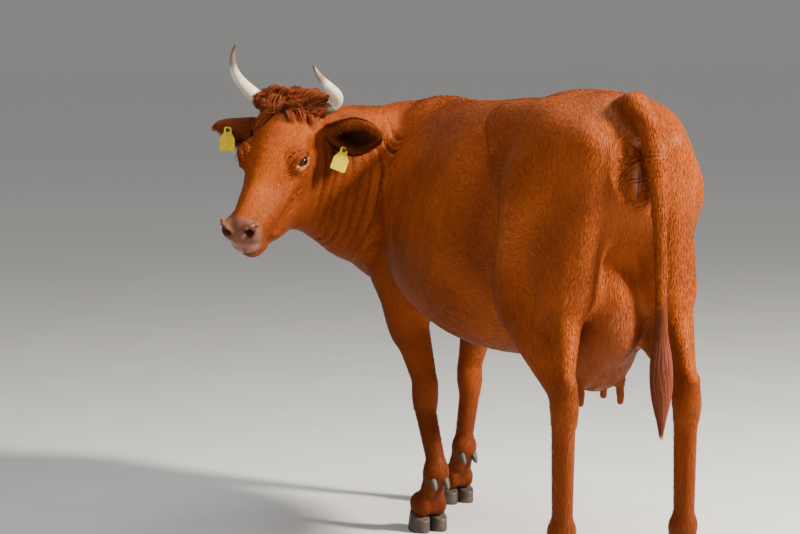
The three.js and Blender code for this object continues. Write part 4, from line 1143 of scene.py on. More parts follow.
def add_light(name, position, target, size, power, colour):
    data = bpy.data.lights.new(name, "AREA")
    data.shape = "DISK"
    data.size = size
    data.energy = power
    data.color = colour
    light = bpy.data.objects.new(name, data)
    bpy.context.scene.collection.objects.link(light)
    look = np.asarray(target, float) - np.asarray(position, float)
    light.matrix_world = frame_matrix(np.asarray(position, float), look, vec(0, 0.01, 1))


def add_stage():
    for light in LIGHTS:
        add_light(*light)
    world = bpy.data.worlds.new("studio")
    world.use_nodes = True
    background = world.node_tree.nodes["Background"].inputs
    background["Color"].default_value = (1.0, 0.985, 0.96, 1)
    background["Strength"].default_value = 0.25
    bpy.context.scene.world = world
    low, size = CAD_BOX[0][2], FLOOR_REACH
    corners = [(-size, -size, low), (size, -size, low), (size, size, low), (-size, size, low)]
    floor = mesh_object("floor", np.array(corners), [[0, 1, 2, 3]])
    floor.data.materials.append(floor_material())
    floor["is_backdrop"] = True


# ---- locks: thin closed spindles, from a root through rings of three points to a tip -------------
THIN = 0.4                       # thickness of a lock, of its half width
PATCH = 0.003                    # side of a lock's patch on the skin's unwrap


def lock_net(paths, widths, normals):
    """paths and normals (n, k, 3), widths (n, k - 2): points of the locks, and their triangles."""
    n, k, _ = paths.shape
    rings = k - 2
    middle = paths[:, 1:-1]
    along = unit(paths[:, 2:] - paths[:, :-2])
    side = unit(np.cross(normals[:, 1:-1], along))
    lift = np.cross(along, side)
    w = widths[..., None]
    low = lift * w * THIN * 0.5
    ring = np.stack([middle - side * w - low, middle + side * w - low, middle + lift * w * THIN], 2)
    points = np.concatenate([paths[:, :1], ring.reshape(n, rings * 3, 3), paths[:, -1:]], 1)
    faces = [(0, 1 + (i + 1) % 3, 1 + i) for i in range(3)]
    for r in range(rings - 1):
        for i in range(3):
            a, b = 1 + r * 3 + i, 1 + r * 3 + (i + 1) % 3
            faces += [(a, b, b + 3), (a, b + 3, a + 3)]
    last = 1 + (rings - 1) * 3
    faces += [(last + i, last + (i + 1) % 3, last + 3) for i in range(3)]
    faces = facing_out(points[0], np.array(faces))
    return points, (np.arange(n)[:, None, None] * points.shape[1] + faces[None]).reshape(-1, 3)


def lock_piece(name, paths, widths, normals, colours, places, soft=0.75, shade=(0.72, 1.0, 1.08)):
    """One piece of coat. colours (n, 3) at the roots, places (n, 2) on the skin's unwrap."""
    k = paths.shape[1]
    normals = np.repeat(normals[:, None], k, 1)
    points, faces = lock_net(paths, widths, normals)
    piece = mesh_object(name, row(points.reshape(-1, 3)), faces)
    ring_of = np.concatenate([[0], np.repeat(np.arange(1, k - 1), 3), [k - 1]])
    level = ring_of / (k - 1)
    tone = np.interp(level, [0, 0.5, 1], shade)
    paint(piece, "Markings", (colours[:, None] * tone[None, :, None]).reshape(-1, 3))
    across = np.concatenate([[0.0], np.tile([-0.5, 0.5, 0.1], k - 2), [0.0]])
    patch = np.stack([across, level - 0.5], 1) * PATCH
    uv = (places[:, None] + patch[None]).reshape(-1, 2)
    layer = piece.data.uv_layers.new(name="OFBake")
    layer.data.foreach_set("uv", uv[faces.ravel()].astype(np.float32).ravel())
    outward = unit(points - paths[:, ring_of])
    outward[:, [0, -1]] = normals[:, [0, -1]]
    shaded = unit(soft * normals[:, ring_of] + (1 - soft) * outward)
    piece.data.normals_split_custom_set_from_vertices(turned(shaded).reshape(-1, 3).astype(np.float32))
    return piece


# ---- the coat's lie and its unwrap ---------------------------------------------------------------
HEAD_PLANE = (unit(0.925 * HEAD[0] + 0.378 * HEAD[2]), on_head(8, 0, -110))
LEG_PARTS = {3: ("fore", 1), 4: ("fore", -1), 5: ("hind", 1), 6: ("hind", -1)}


def part_of(points):
    """Number of the part that each point of the skin lies on: 0 head, 1 neck, 2 trunk,
    3 to 6 the legs, 7 tail."""
    f, l, u = straightened(points).T
    part = np.full(len(points), 2)
    normal, place = HEAD_PLANE
    part[((points[:, 1] > 372) | (f > 1400)) & (u > 560)] = 1
    part[((points - place) @ normal > 0) & (points[:, 1] > 380) & (u > 740)] = 0
    for number, (end, side) in LEG_PARTS.items():
        if end == "fore":
            rows, inner = (u < 730) & (f > 950), 60
        else:
            rows, inner = (u < 760) & (f < 470), np.where(u > 560, 62 + (790 - u) * 0.26, 40)
        mine = (l > 0) == (side > 0)
        part[rows & mine & ((u < 480) | (np.abs(l) > inner)) & (part != 0)] = number
    axis = np.array([p for p, _ in TAIL[1:]])
    near = np.interp(-points[:, 2], -axis[:, 2], np.arange(len(axis)))
    i = np.clip(near.astype(int), 0, len(axis) - 2)
    place = axis[i] + (axis[i + 1] - axis[i]) * (near - i)[:, None]
    part[(np.linalg.norm((points - place)[:, :2], axis=1) < 34) & (u < 1215) & (f < -30)] = 7
    return part


def lie_of(points, normals, part):
    """The way the coat lies, along the skin."""
    f, l, u = straightened(points).T
    way = np.tile(vec(-1, 0, -0.38), (len(points), 1))
    rump = 1 - smooth(f, 20, 190)
    way += rump[:, None] * vec(0.75, 0, -0.9)
    low = 1 - smooth(u, 640, 820)
    way += low[:, None] * vec(0.35, 0, -0.55)
    way[:, 1] += np.sign(l) * 0.12
    way[part >= 3] = vec(-0.16, 0, -1)
    neck = part == 1
    if neck.any():
        t = neck_station(points[neck])
        ahead = neck_point(np.minimum(t + 0.03, 1.02)) - neck_point(t - 0.03)
        way[neck] = -unit(ahead) + vec(0, 0, -0.55)
    head = part == 0
    if head.any():
        local = head_local(points[head])
        whorl = local - vec(118, 0, 0)
        gap = np.linalg.norm(whorl, axis=1)
        spread = whorl.copy()
        spread[:, 2] = 0
        spin = np.stack([-spread[:, 1], spread[:, 0], np.zeros(len(spread))], 1)
        down = np.stack([np.ones(len(local)), 0.25 * np.sign(local[:, 1]), -0.5 * np.ones(len(local))], 1)
        upward = np.stack([-np.ones(len(local)), 0.2 * np.sign(local[:, 1]), np.zeros(len(local))], 1)
        flow = np.where((local[:, 0] < 95)[:, None] & (local[:, 2] > -60)[:, None], upward, down)
        near = np.exp(-(gap / 60) ** 2)[:, None]
        local_way = unit(flow) * (1 - near) + near * (unit(spread) + 0.9 * unit(spin))
        back = smooth(-local[:, 2], 110, 210)[:, None]
        local_way = local_way * (1 - back) + back * vec(-0.5, 0, -0.9)
        way[head] = local_way @ HEAD
    way += 0.10 * np.sin(points[:, [1, 2, 0]] / 41)
    way -= normals * (way * normals).sum(1)[:, None]
    return unit(way)


# left, low, wide and tall of each part's chart
CHARTS = {0: (0.01, 0.51, 0.38, 0.48), 1: (0.67, 0.01, 0.32, 0.47),
          2: (0.01, 0.01, 0.64, 0.48), 7: (0.95, 0.51, 0.04, 0.48)}
CHARTS.update({3 + i: (0.41 + 0.11 * i, 0.51, 0.10, 0.48) for i in range(4)})


def turn_of(x, y):
    return np.arctan2(x, y) / (2 * math.pi) + 0.5


def unwrap(points, part):
    """Where a point lies on an unwrap of the skin: each part is opened along its length."""
    f, l, u = straightened(points).T
    local = head_local(points)
    t = neck_station(points)
    beside = np.einsum("ij,ij->i", points - neck_point(t), np.stack([-np.sin(t), np.cos(t), 0 * t], 1))
    places = {
        0: (turn_of(local[:, 1], local[:, 2] + 90), (local[:, 0] + 80) / 580),
        1: (t / 1.1, turn_of(beside, u - 1020)),
        2: ((f + 80) / 1640, turn_of(l, u - 930)),
        7: (turn_of(points[:, 1] + 45, points[:, 0] + 72), (u - 650) / 620),
    }
    for number, (end, side) in LEG_PARTS.items():
        joint, fetlock = foot_joints(end, side)
        levels = [fetlock[2] - 105, fetlock[2], joint[2], 790]
        lean = 1340 if end == "fore" else 200
        middle = np.interp(u, levels, [fetlock[0] + 50, fetlock[0], joint[0], lean])
        places[number] = (turn_of(l - side * SPREAD[end, side], f - middle), u / 800)
    out = np.zeros((len(points), 2))
    for number, (x, y) in places.items():
        left, low, wide, tall = CHARTS[number]
        mine = part == number
        out[mine, 0] = left + wide * np.clip(x[mine], 0, 1)
        out[mine, 1] = low + tall * np.clip(y[mine], 0, 1)
    return out


def bare_places(points, part):
    """1 where no coat grows: muzzle pad, lids' rims, horn bases, teats, skin under the tail, feet."""
    side = head_mirrored(points)
    head = part == 0
    bare = np.zeros(len(points))
    bare[head] = (smooth(pad_reach(side), 408, 430) * smooth(side[:, 2], -150, -120))[head]
    for way in (1, -1):
        for upper in (True, False):
            near, gap = lid_gap(points, lid_line(way, upper, count=25))
            bare[near] = np.maximum(bare[near], 1 - smooth(gap, 4, 6))
        for place, radius in ((eye_frame(way)[0], EYE_RADIUS + 3.5), (on_head(12, way * 108, -28), 24)):
            bare[np.linalg.norm(points - place, axis=1) < radius] = 1
    for f, l in TEATS:
        bare[(np.hypot(points[:, 0] - f, points[:, 1] - l) < 20) & (points[:, 2] < 535)] = 1
    bare = np.maximum(bare, lump_at(points, (-56, 2, 1082), (20, 11, 36)))
    bare = np.maximum(bare, lump_at(points, (-48, 2, 1180), (14, 10, 9)))
    bare[points[:, 2] < 62] = 1
    return bare


# ---- the short coat ------------------------------------------------------------------------------
def areas(corners):
    return np.linalg.norm(np.cross(corners[:, 1] - corners[:, 0], corners[:, 2] - corners[:, 0]), axis=1) / 2


def sample(points, faces, weight, count):
    """Seeded points spread over the triangles by area and weight."""
    corners = points[faces]
    share = np.cumsum(areas(corners) * weight)
    pick = np.searchsorted(share, (np.arange(count) + RNG.random(count)) / count * share[-1])
    pick = np.minimum(pick, len(faces) - 1)
    r, s = np.sqrt(RNG.random(count)), RNG.random(count)
    c = corners[pick]
    return c[:, 0] * (1 - r)[:, None] + c[:, 1] * (r * (1 - s))[:, None] + c[:, 2] * (r * s)[:, None]


# length, half width, lift of the middle, lift of the tip, tufts for each cm2 of skin
HAIR = {
    0: (10.0, 0.85, 1.5, 1.9, 7.5),
    1: (13.0, 1.0, 1.4, 2.0, 4.2),
    2: (17.0, 1.0, 1.2, 1.8, 2.9),
    7: (20.0, 1.15, 1.8, 3.0, 5.0),
}
LEG_HAIR = (12.0, 0.95, 1.4, 1.8, 4.6)
CROWN_HAIR = (30, 1.9, 6, 8, 5.0)
FACE_HAIR = (6.5, 0.65, 1.1, 1.5, 10.0)
FOOT_HAIR = (10, 0.95, 1.5, 2.2, 6.0)
UNDER_TAIL_HAIR = (6.0, 0.65, 0.9, 1.2, 8.0)
TUFTS_PER_PIECE = 33000          # 6 triangles each, so a piece stays under 200,000


def hair_sizes(points, part):
    """Columns as in HAIR, with the changes within a part."""
    sizes = np.zeros((len(points), 5))
    for number in range(8):
        sizes[part == number] = HAIR.get(number, LEG_HAIR)
    side = head_mirrored(points)
    for target, amount in (
            (CROWN_HAIR, (part <= 1) * lump_at(side, (8, 0, 6), (72, 90, 60))),
            (FACE_HAIR, (part == 0) * smooth(side[:, 0], 180, 330)),
            (FOOT_HAIR, ((part >= 3) & (part < 7)) * (1 - smooth(points[:, 2], 140, 260)))):
        sizes = sizes * (1 - amount)[:, None] + amount[:, None] * np.array(target)
    crest = (part <= 2) * smooth(points[:, 2], 1225, 1262) * smooth(points[:, 0], 900, 1100)
    sizes[:, 0] += 9 * crest
    sizes[:, 3] += 3 * crest
    sizes[(lump_at(points, (-58, -10, 1110), (60, 38, 105)) > 0.3) & (part != 7)] = UNDER_TAIL_HAIR
    return sizes


def grow_coat(points, faces):
    """The short coat over the whole skin, in pieces of under 200,000 triangles."""
    corners = points[faces]
    middle = corners.mean(1)
    part = part_of(middle)
    density = hair_sizes(middle, part)[:, 4] * (1 - bare_places(middle, part))
    count = int((areas(corners) / 100 * density).sum() * HAIR_SHARE)
    roots = draw_to(sample(points, faces, density, count), COAT_DEPTH, 1)
    normals = unit(gradient(roots))
    part = part_of(roots)
    keep = RNG.random(len(roots)) > bare_places(roots, part)
    roots, normals, part = roots[keep], normals[keep], part[keep]
    way = lie_of(roots, normals, part)
    side = np.cross(normals, way)
    sizes = hair_sizes(roots, part)
    n = len(roots)
    way = unit(way + side * RNG.normal(0, 0.09, n)[:, None])
    length = sizes[:, 0] * RNG.uniform(0.7, 1.3, n)
    stand = RNG.uniform(0.6, 1.25, n)
    middle = roots + way * (0.5 * length)[:, None]
    tip = roots + way * length[:, None] + side * (RNG.normal(0, 0.07, n) * length)[:, None]
    ends = [draw_to(place, COAT_DEPTH, 1) + normals * (rise * stand)[:, None]
            for place, rise in ((middle, sizes[:, 2]), (tip, sizes[:, 3]))]
    paths = np.stack([roots - normals * 0.8, *ends], 1)
    widths = (sizes[:, 1] * RNG.uniform(0.75, 1.25, n))[:, None]
    colours = markings_and_painted_light(roots) * RNG.uniform(0.72, 1.26, n)[:, None]
    tilt = unit(normals + 0.16 * side * RNG.normal(0, 1, n)[:, None] + 0.12 * way)
    places = unwrap(roots, part)
    material = coat_material()
    groups = {"head": (0,), "neck": (1,), "trunk": (2,), "legs": tuple(LEG_PARTS), "tail": (7,)}
    for name, numbers in groups.items():
        mine = np.flatnonzero(np.isin(part, numbers))
        mine = mine[np.argsort(roots[mine, 0], kind="stable")]
        pieces = max(1, math.ceil(len(mine) / TUFTS_PER_PIECE))
        for i, some in enumerate(np.array_split(mine, pieces)):
            chosen = (x[some] for x in (paths, widths, tilt, colours, places))
            piece = lock_piece(f"coat_{name}_{i + 1}", *chosen)
            finish_piece(piece, (), material)
    return material


# ---- ears ----------------------------------------------------------------------------------------
def ear_frame(side):
    along, opening = (unit(vec(*axis) @ HEAD) for axis in EAR_AXES[side])
    opening = unit(opening - along * (opening @ along))
    return on_head(54, side * 118, -86), along, opening, np.cross(along, opening)


def ear_points(side, s, w, depth):
    """Points of the ear: s from root to tip, w from rim to rim, depth off its middle sheet."""
    root, along, opening, across = ear_frame(side)
    s, w, depth = np.broadcast_arrays(*(np.asarray(x, float) for x in (s, w, depth)))
    end = np.sqrt(np.clip(1 - np.clip((s - 0.5) / 0.52, 0, 1) ** 2, 0.03, 1))
    half = EAR["width"] / 2 * (0.8 + 0.2 * np.sin(math.pi * np.clip(s / 0.9, 0, 1))) * end
    roll = EAR["roll"] - EAR["unroll"] * s
    radius = half / roll
    turn = w * roll
    place = root + s[..., None] * EAR["length"] * along
    place = place + ((radius - depth) * np.sin(turn))[..., None] * across
    return place + (radius - (radius - depth) * np.cos(turn) - EAR["root"])[..., None] * opening


def ear_out(side, s, w):
    """The way the outside of the ear faces."""
    _, _, opening, across = ear_frame(side)
    turn = np.asarray(w * (EAR["roll"] - EAR["unroll"] * s))[..., None]
    return across * np.sin(turn) - opening * np.cos(turn)


EAR_ROWS, EAR_AROUND = 34, 44


def ear_net(side):
    """A closed cupped leaf with a rounded rim."""
    s = np.linspace(-0.06, 0.995, EAR_ROWS)
    turn = np.linspace(0, 2 * math.pi, EAR_AROUND, endpoint=False)
    depth = (EAR["thick"] / 2 - 1.2) * np.sign(np.sin(turn)) * np.abs(np.sin(turn)) ** 0.5
    fade = 1 - 0.45 * smooth(s, 0.5, 1)
    rings = ear_points(side, s[:, None], np.cos(turn)[None], depth[None] * fade[:, None])
    points, faces = closed_net(rings, rings[0].mean(0), rings[-1].mean(0))
    spread = np.append(np.repeat(s, EAR_AROUND), [-0.06, 1.0])
    front = np.append(np.tile(np.sin(turn), EAR_ROWS), [0, 0])
    return points, faces, spread, front


def ear_colours(spread, front):
    """spread from root to tip; front above 0 is the inside of the ear."""
    colours = np.tile(EAR_BROWN, (len(spread), 1))
    colours = blend_to(colours, DEEP, 0.5 * (1 - smooth(spread, 0.1, 0.75)) * (front < 0.3))
    inside = (front > 0.3) * (1 - smooth(spread, 0.6, 0.98))
    return blend_to(colours, EAR_INSIDE, 0.8 * inside)


def ear_coat(side, count, outside):
    """Hair that lies along the leaf, on its outside or its inside."""
    s, w = RNG.uniform(0.0, 0.98, count), RNG.uniform(-1, 1, count)
    face = -1.0 if outside else 1.0
    depth = (EAR["thick"] / 2 - 1.4) * face
    length = RNG.uniform(11, 19, count) * (1.0 if outside else 1.5)
    ahead = s + 0.92 * length / EAR["length"]
    drift = w + RNG.normal(0, 0.08, count) + (0 if outside else -0.25 * np.sign(w) * RNG.random(count))
    base = ear_points(side, s, w, depth)
    middle = ear_points(side, np.minimum((s + ahead) / 2, 1.0), (w + drift) / 2, depth + face * 2.2)
    tip = ear_points(side, np.minimum(ahead, 1.0), drift, depth + face * (4.2 if outside else 9))
    along = ear_frame(side)[1]
    tip = tip + along * np.maximum(ahead - 1.0, 0)[:, None] * EAR["length"] * 0.8
    normals = -face * ear_out(side, s, w)
    return base, middle, tip, normals, s, np.full(count, face), np.full(count, 1.3)


def ear_fringe(side, count):
    """Long hair of both rims, that closes over the opening."""
    _, along, opening, sideways = ear_frame(side)
    rim = np.where(RNG.random(count) < 0.5, -1.0, 1.0)
    s = RNG.uniform(0.02, 0.99, count)
    w = rim * RNG.uniform(0.55, 1.0, count)
    base = ear_points(side, s, w, RNG.uniform(-3, 3, count))
    out = ear_out(side, s, w)
    inward = np.cross(along, out) * -rim[:, None]
    inward = np.where((RNG.random(count) < 0.72)[:, None], inward, 0.35 * out + 0.4 * inward)
    closing = -rim[:, None] * sideways * RNG.uniform(0.3, 1.3, count)[:, None]
    way = unit(0.35 * inward + closing + along * 0.55 + out * 0.10)
    length = RNG.uniform(20, 42, count) * (1 - 0.3 * s)
    middle = base + way * (0.5 * length)[:, None] + out * 2.5
    tip = base + way * length[:, None] - out * 1.5 + vec(0, 0, -0.12) * length[:, None]
    return base, middle, tip, unit(0.7 * opening + 0.5 * out), s, np.zeros(count), np.full(count, 1.1)


def grow_ear_hair(side, material):
    sets = [ear_coat(side, int(6500 * HAIR_SHARE), True), ear_coat(side, int(2600 * HAIR_SHARE), False),
            ear_fringe(side, int(4600 * HAIR_SHARE))]
    paths = np.concatenate([np.stack(x[:3], 1) for x in sets])
    normals, s, face, widths = (np.concatenate([x[i] for x in sets]) for i in (3, 4, 5, 6))
    colours = ear_colours(s, face) * RNG.uniform(0.7, 1.35, len(s))[:, None]
    colours = blend_to(colours, CHESTNUT * 0.7, (face == 0) * 0.75)
    left = 0.86 if side > 0 else 0.905
    places = np.stack([left + 0.036 * RNG.random(len(s)), 0.51 + 0.48 * np.clip(s, 0, 1)], 1)
    piece = lock_piece(f"coat_ear_{SIDE_NAME[side]}", paths, widths[:, None], unit(normals), colours, places,
                       soft=0.6)
    finish_piece(piece, (), material)


# ---- horns, eyes, claws, tags --------------------------------------------------------------------
def tube_net(path, radii, around):
    """A closed tube along a path, its frame carried without twist."""
    tangent = unit(np.gradient(path, axis=0))
    side = [unit(np.cross(tangent[0], vec(0, 0, 1)))]
    for t in tangent[1:]:
        side.append(unit(side[-1] - t * (side[-1] @ t)))
    side = np.array(side)
    other = np.cross(tangent, side)
    turn = np.linspace(0, 2 * math.pi, around, endpoint=False)
    x, y = (wave[None] * radii[:, None] for wave in (np.cos(turn), np.sin(turn)))
    rings = path[:, None] + x[..., None] * side[:, None] + y[..., None] * other[:, None]
    return closed_net(rings, path[0] - tangent[0] * 0.5, path[-1] + tangent[-1] * radii[-1] * 0.8)


HORN_PATH = {
    1: ((7, 106, -29), (-47, 160, -33), (62, 152, 108), (9, 122, 150)),
    -1: ((7, 106, -29), (-47, 167, -33), (50, 160, 122), (-24, 122, 181)),
}
HORN_BASE = 22.0                 # radius
HORN_AROUND = 28


def add_horn(side, material):
    t = np.linspace(0, 1, 70)
    points = bezier(*(on_head(a, side * b, c) for a, b, c in HORN_PATH[side]), t)
    points = np.concatenate([[on_head(10, side * 92, -30)], points])
    radii = np.concatenate([[HORN_BASE], HORN_BASE * (1 - t) ** 0.62 + 1.6 * (1 - t * 0.5)])
    along = np.concatenate([[0], t])
    rings = 1 + 0.018 * np.sin(along * 95) * (1 - smooth(along, 0.0, 0.45))
    flat, faces = tube_net(points, radii * rings, HORN_AROUND)
    n = len(points)
    where = np.append(np.repeat(np.arange(n) / (n - 1), HORN_AROUND), [0, 1])
    colours = np.tile(vec(0.66, 0.60, 0.47), (len(flat), 1))
    for colour, amount in (
            (vec(0.30, 0.24, 0.17), 0.7 * (1 - smooth(where, 0.06, 0.30))),
            (vec(0.050, 0.045, 0.042), 0.9 * (1 - smooth(where, 0.05, 0.15))),
            (vec(0.17, 0.105, 0.065), 0.9 * smooth(where, 0.66, 0.80)),
            (vec(0.050, 0.038, 0.032), 0.9 * smooth(where, 0.86, 0.97))):
        colours = blend_to(colours, colour, amount)
    add_fine(f"horn_{SIDE_NAME[side]}", flat, faces, material, colours)


def add_eye(side, material):
    center, along, up, out = eye_frame(side)
    rows, around = 40, 64
    angle = np.linspace(0, math.pi, rows + 1)[1:-1, None, None]
    turn = np.linspace(0, 2 * math.pi, around, endpoint=False)[None, :, None]
    rings = np.sin(angle) * (np.cos(turn) * along + np.sin(turn) * up) + np.cos(angle) * out
    directions, faces = closed_net(rings, out, -out)
    x, y, z = directions @ along, directions @ up, directions @ out
    # the cornea stands out a little
    bulge = 1 + 0.05 * np.exp(-((1 - z) / 0.22) ** 2)
    points = center + EYE_RADIUS * directions * (bulge[:, None] - 0.02)
    white, brown, black = vec(0.050, 0.024, 0.016), vec(0.032, 0.012, 0.007), vec(0.004, 0.004, 0.006)
    iris = (1 - smooth(np.hypot(x, y), 0.76, 0.84)) * (z > 0)
    pupil = (1 - smooth(np.hypot(x / 0.46, y / 0.24), 0.85, 1.05)) * (z > 0)
    colours = blend_to(np.tile(white, (len(points), 1)), brown, iris)
    add_fine(f"eye_{SIDE_NAME[side]}", points, faces, material, blend_to(colours, black, pupil))


CORONET = {"heel": 36, "toe": 74, "length": 118}
GAP_TOP = 0.5                    # between the claw and the flesh over it


def claw_rings(inner):
    """Rings of a claw from the floor up to the coronet, in the foot's own axes."""
    slope = (CORONET["toe"] - CORONET["heel"]) / CORONET["length"]
    rows, around = 12, 44
    angle = np.linspace(0, 2 * math.pi, around, endpoint=False)
    cosine = np.cos(angle)
    front = np.maximum(cosine, 0)
    rings = []
    for r in range(rows + 1):
        inset = 1 - 0.045 * (1 - min(r, 1)) - 0.10 * max(r - rows + 1, 0)
        z = np.full(around, 30.0)
        # the outline depends on the height, and the height on the outline
        for _ in range(6):
            share = z / 96
            toe, heel, half = 74 - 46 * share, 46 + 6 * share, 26.5 - 3.5 * share
            f = cosine * np.where(cosine > 0, toe, heel)
            z = r / rows * (55 + slope * f - GAP_TOP)
        bulge = 1.0 + 0.03 * np.sin(math.pi * np.clip(z / 60, 0, 1))
        groove = 1 - 0.05 * np.exp(-((cosine + 0.92) / 0.1) ** 2)
        l = inner * 28 + np.sin(angle) * half * (1 - 0.3 * front**2) * bulge * inset * groove
        rings.append(np.stack([f * inset, l - inner * 4 * front * (1 - share), z], 1))
    return np.array(rings)


def placed(points, angle, center):
    """Points turned about the upright and moved to their place."""
    c, s = math.cos(angle), math.sin(angle)
    f, l, u = points.T
    return np.stack([f * c - l * s, f * s + l * c, u], 1) + center


def add_claw(end, side, inner, material):
    """One claw, and the dewclaw behind the fetlock over it: a small worn cone."""
    fetlock = foot_joints(end, side)[1]
    angle = turn_at(fetlock[0])
    row_name = "front" if end == "fore" else "hind"
    name = f"{row_name}_{SIDE_NAME[side]}_{'outer' if inner * side > 0 else 'inner'}"
    rings = claw_rings(inner)
    flat, faces = closed_net(rings, rings[0].mean(0), rings[-1].mean(0) + vec(0, 0, 1))
    center = bent(at(fetlock, 60 if end == "fore" else 64, 0, -fetlock[2]))
    add_fine(f"claw_{name}", placed(flat, angle, center), faces, material)
    t = np.linspace(0.0, 1.0, 9)
    path = placed(np.stack([-20 - 20 * t, np.full(9, inner * 20.0), -22 - 26 * t], 1), angle, bent(fetlock))
    flat, faces = tube_net(path, 11.5 * (1 - 0.35 * t - 0.35 * t**4), 18)
    add_fine(f"dewclaw_{name}", flat, faces, material)


def rounded(outline, radius, steps=5):
    """A closed outline with its corners rounded."""
    outline = np.asarray(outline, float)
    out = []
    for i, corner in enumerate(outline):
        before, after = outline[i - 1], outline[(i + 1) % len(outline)]
        r = min(radius, 0.45 * np.linalg.norm(before - corner), 0.45 * np.linalg.norm(after - corner))
        p, q = corner + unit(before - corner) * r, corner + unit(after - corner) * r
        for t in np.linspace(0, 1, steps):
            out.append((1 - t) ** 2 * p + 2 * t * (1 - t) * corner + t * t * q)
    return np.array(out)


def plate_net(outline, thick, bevel):
    """A plate with bevelled edges, from its outline in the plane."""
    middle = outline.mean(0)
    inward = unit(middle - outline)
    layers = ((0.0, bevel), (bevel, 0.0), (thick - bevel, 0.0), (thick, bevel))
    rings = [np.column_stack([outline + inward * inset, np.full(len(outline), z)]) for z, inset in layers]
    return closed_net(np.array(rings), [*middle, 0.0], [*middle, thick])


def tag_frame(side):
    place, across, lean, lift = TAG_SEAT[side]
    seat = ear_points(side, place, across, -EAR["thick"] / 2)
    facing = unit((vec(0.5, 0.25, 0.75) @ HEAD) * vec(1, 1, 0))
    level = np.cross(vec(0, 0, 1), facing)
    lean = math.radians(lean)
    upright = vec(0, 0, 1) * math.cos(lean) + level * math.sin(lean)
    return seat + upright * lift, np.cross(upright, facing), upright, facing


def add_tag(side, material):
    """The plate, a little bowed, and the stud that holds it."""
    name = SIDE_NAME[side]
    seat, level, upright, facing = tag_frame(side)
    wide, tall, neck, thick = TAG["width"] / 2, TAG["height"], TAG["neck"], TAG["thick"]
    outline = [(-11, 9), (11, 9), (11, -neck * 0.3), (wide, -neck), (wide, -neck - tall),
               (-wide, -neck - tall), (-wide, -neck), (-11, -neck * 0.3)]
    flat, faces = plate_net(rounded(outline, 6), thick, 0.45)
    flat[:, 2] -= 0.0016 * flat[:, 0] ** 2
    start = seat + facing * 9
    points = start + flat @ np.stack([level, upright, facing])
    add_fine(f"tag_{name}", points, faces, material, np.ones((len(flat), 3)), False)
    t = np.linspace(0, 1, 8)
    path = start + facing[None] * (thick + 0.3 + 6.5 * t)[:, None]
    flat, faces = tube_net(path, 6.0 * np.array([1, 1, 0.98, 0.9, 0.62, 0.6, 0.55, 0.3]), 24)
    colours = np.tile(vec(0.04, 0.05, 0.9), (len(flat), 1))
    add_fine(f"tag_stud_{name}", flat, faces, material, colours)


# ---- long hair: poll, tail switch ----------------------------------------------------------------
def poll_roots(count):
    """Roots spread over the crown, on the skin."""
    a, b = RNG.uniform(-40, 66, count), RNG.uniform(-88, 88, count)
    keep = (np.abs(b) / 90) ** 2 + ((a - 12) / 56) ** 2 < 1
    a, b = a[keep], b[keep]
    start = np.array([on_head(x, y, 60) for x, y in zip(a, b)])
    for _ in range(12):
        start = start - HEAD[2] * np.clip(FLESH(start) + COAT_DEPTH, -20, 20)[:, None] * 0.9
    return a, b, start


def poll_way(a, b, clump, wild):
    """The lie of a lock where it leaves the crown: out to both horns and over the forehead."""
    sweep = np.clip((b + 22) / 38, -1, 1)
    ahead = np.where(a > 16, 0.55, -0.15) + 0.30 * wild[clump, 0] + 0.25 * (b < -20)
    across = 0.95 * sweep + 0.30 * wild[clump, 1]
    return unit(np.stack([ahead, across, 0.35 + 0 * a], 1) @ HEAD)


def add_poll_hair(material):
    """The curled tuft between the horns, parted to both sides and over the forehead."""
    a, b, start = poll_roots(3600)
    n, clumps, steps = len(a), 110, 8
    middle = RNG.integers(0, n, clumps)
    clump = ((start[:, None] - start[middle][None]) ** 2).sum(2).argmin(1)
    wild = RNG.normal(0, 1, (clumps, 4))
    way = poll_way(a, b, clump, wild)
    way = unit(way + 0.10 * RNG.normal(0, 1, (n, 3)))
    length = (62 + 14 * wild[clump, 2]) * RNG.uniform(0.75, 1.15, n) * (1 - 0.3 * (np.abs(b) / 88) ** 2)
    rise = RNG.uniform(0.1, 1.0, n) ** 0.7 * (19 + 5 * wild[clump, 3])
    curl = np.where(b > -20, 0.9, -0.9) + 0.5 * wild[clump, 1]
    axis = start[middle[clump]] - start
    normals = unit(gradient(start))
    paths = np.zeros((n, steps, 3))
    paths[:, 0] = start - normals * 1.0
    place, up = start, normals
    for k in range(1, steps):
        t = k / (steps - 1)
        turned_way = way * np.cos(curl * t)[:, None] + np.cross(up, way) * np.sin(curl * t)[:, None]
        turned_way = unit(turned_way - up * (turned_way * up).sum(1)[:, None])
        place = place + turned_way * (length / (steps - 1))[:, None] + axis * (0.55 / (steps - 1))
        value, slope = probe(place)
        up = unit(slope)
        lift = rise * math.sin(math.pi * min(0.08 + 0.80 * t, 1)) + 1.0
        place = place + up * np.clip(lift - value - COAT_DEPTH, -9, 9)[:, None]
        paths[:, k] = place
    widths = np.linspace(1.5, 0.7, steps - 2)[None] * RNG.uniform(0.7, 1.3, n)[:, None]
    shade = (0.95 + 0.22 * wild[clump, 0].clip(-1.5, 1.5)) * RNG.uniform(0.75, 1.3, n)
    # locks that stand higher are painted lighter, and those lying low darker: painted light and shade
    colours = POLL_HAIR * shade[:, None] * (0.75 + 0.45 * rise / 22)[:, None]
    places = unwrap(start, np.zeros(n, int))
    piece = lock_piece("coat_poll", paths, widths, normals, colours, places, soft=0.5)
    finish_piece(piece, (), material)


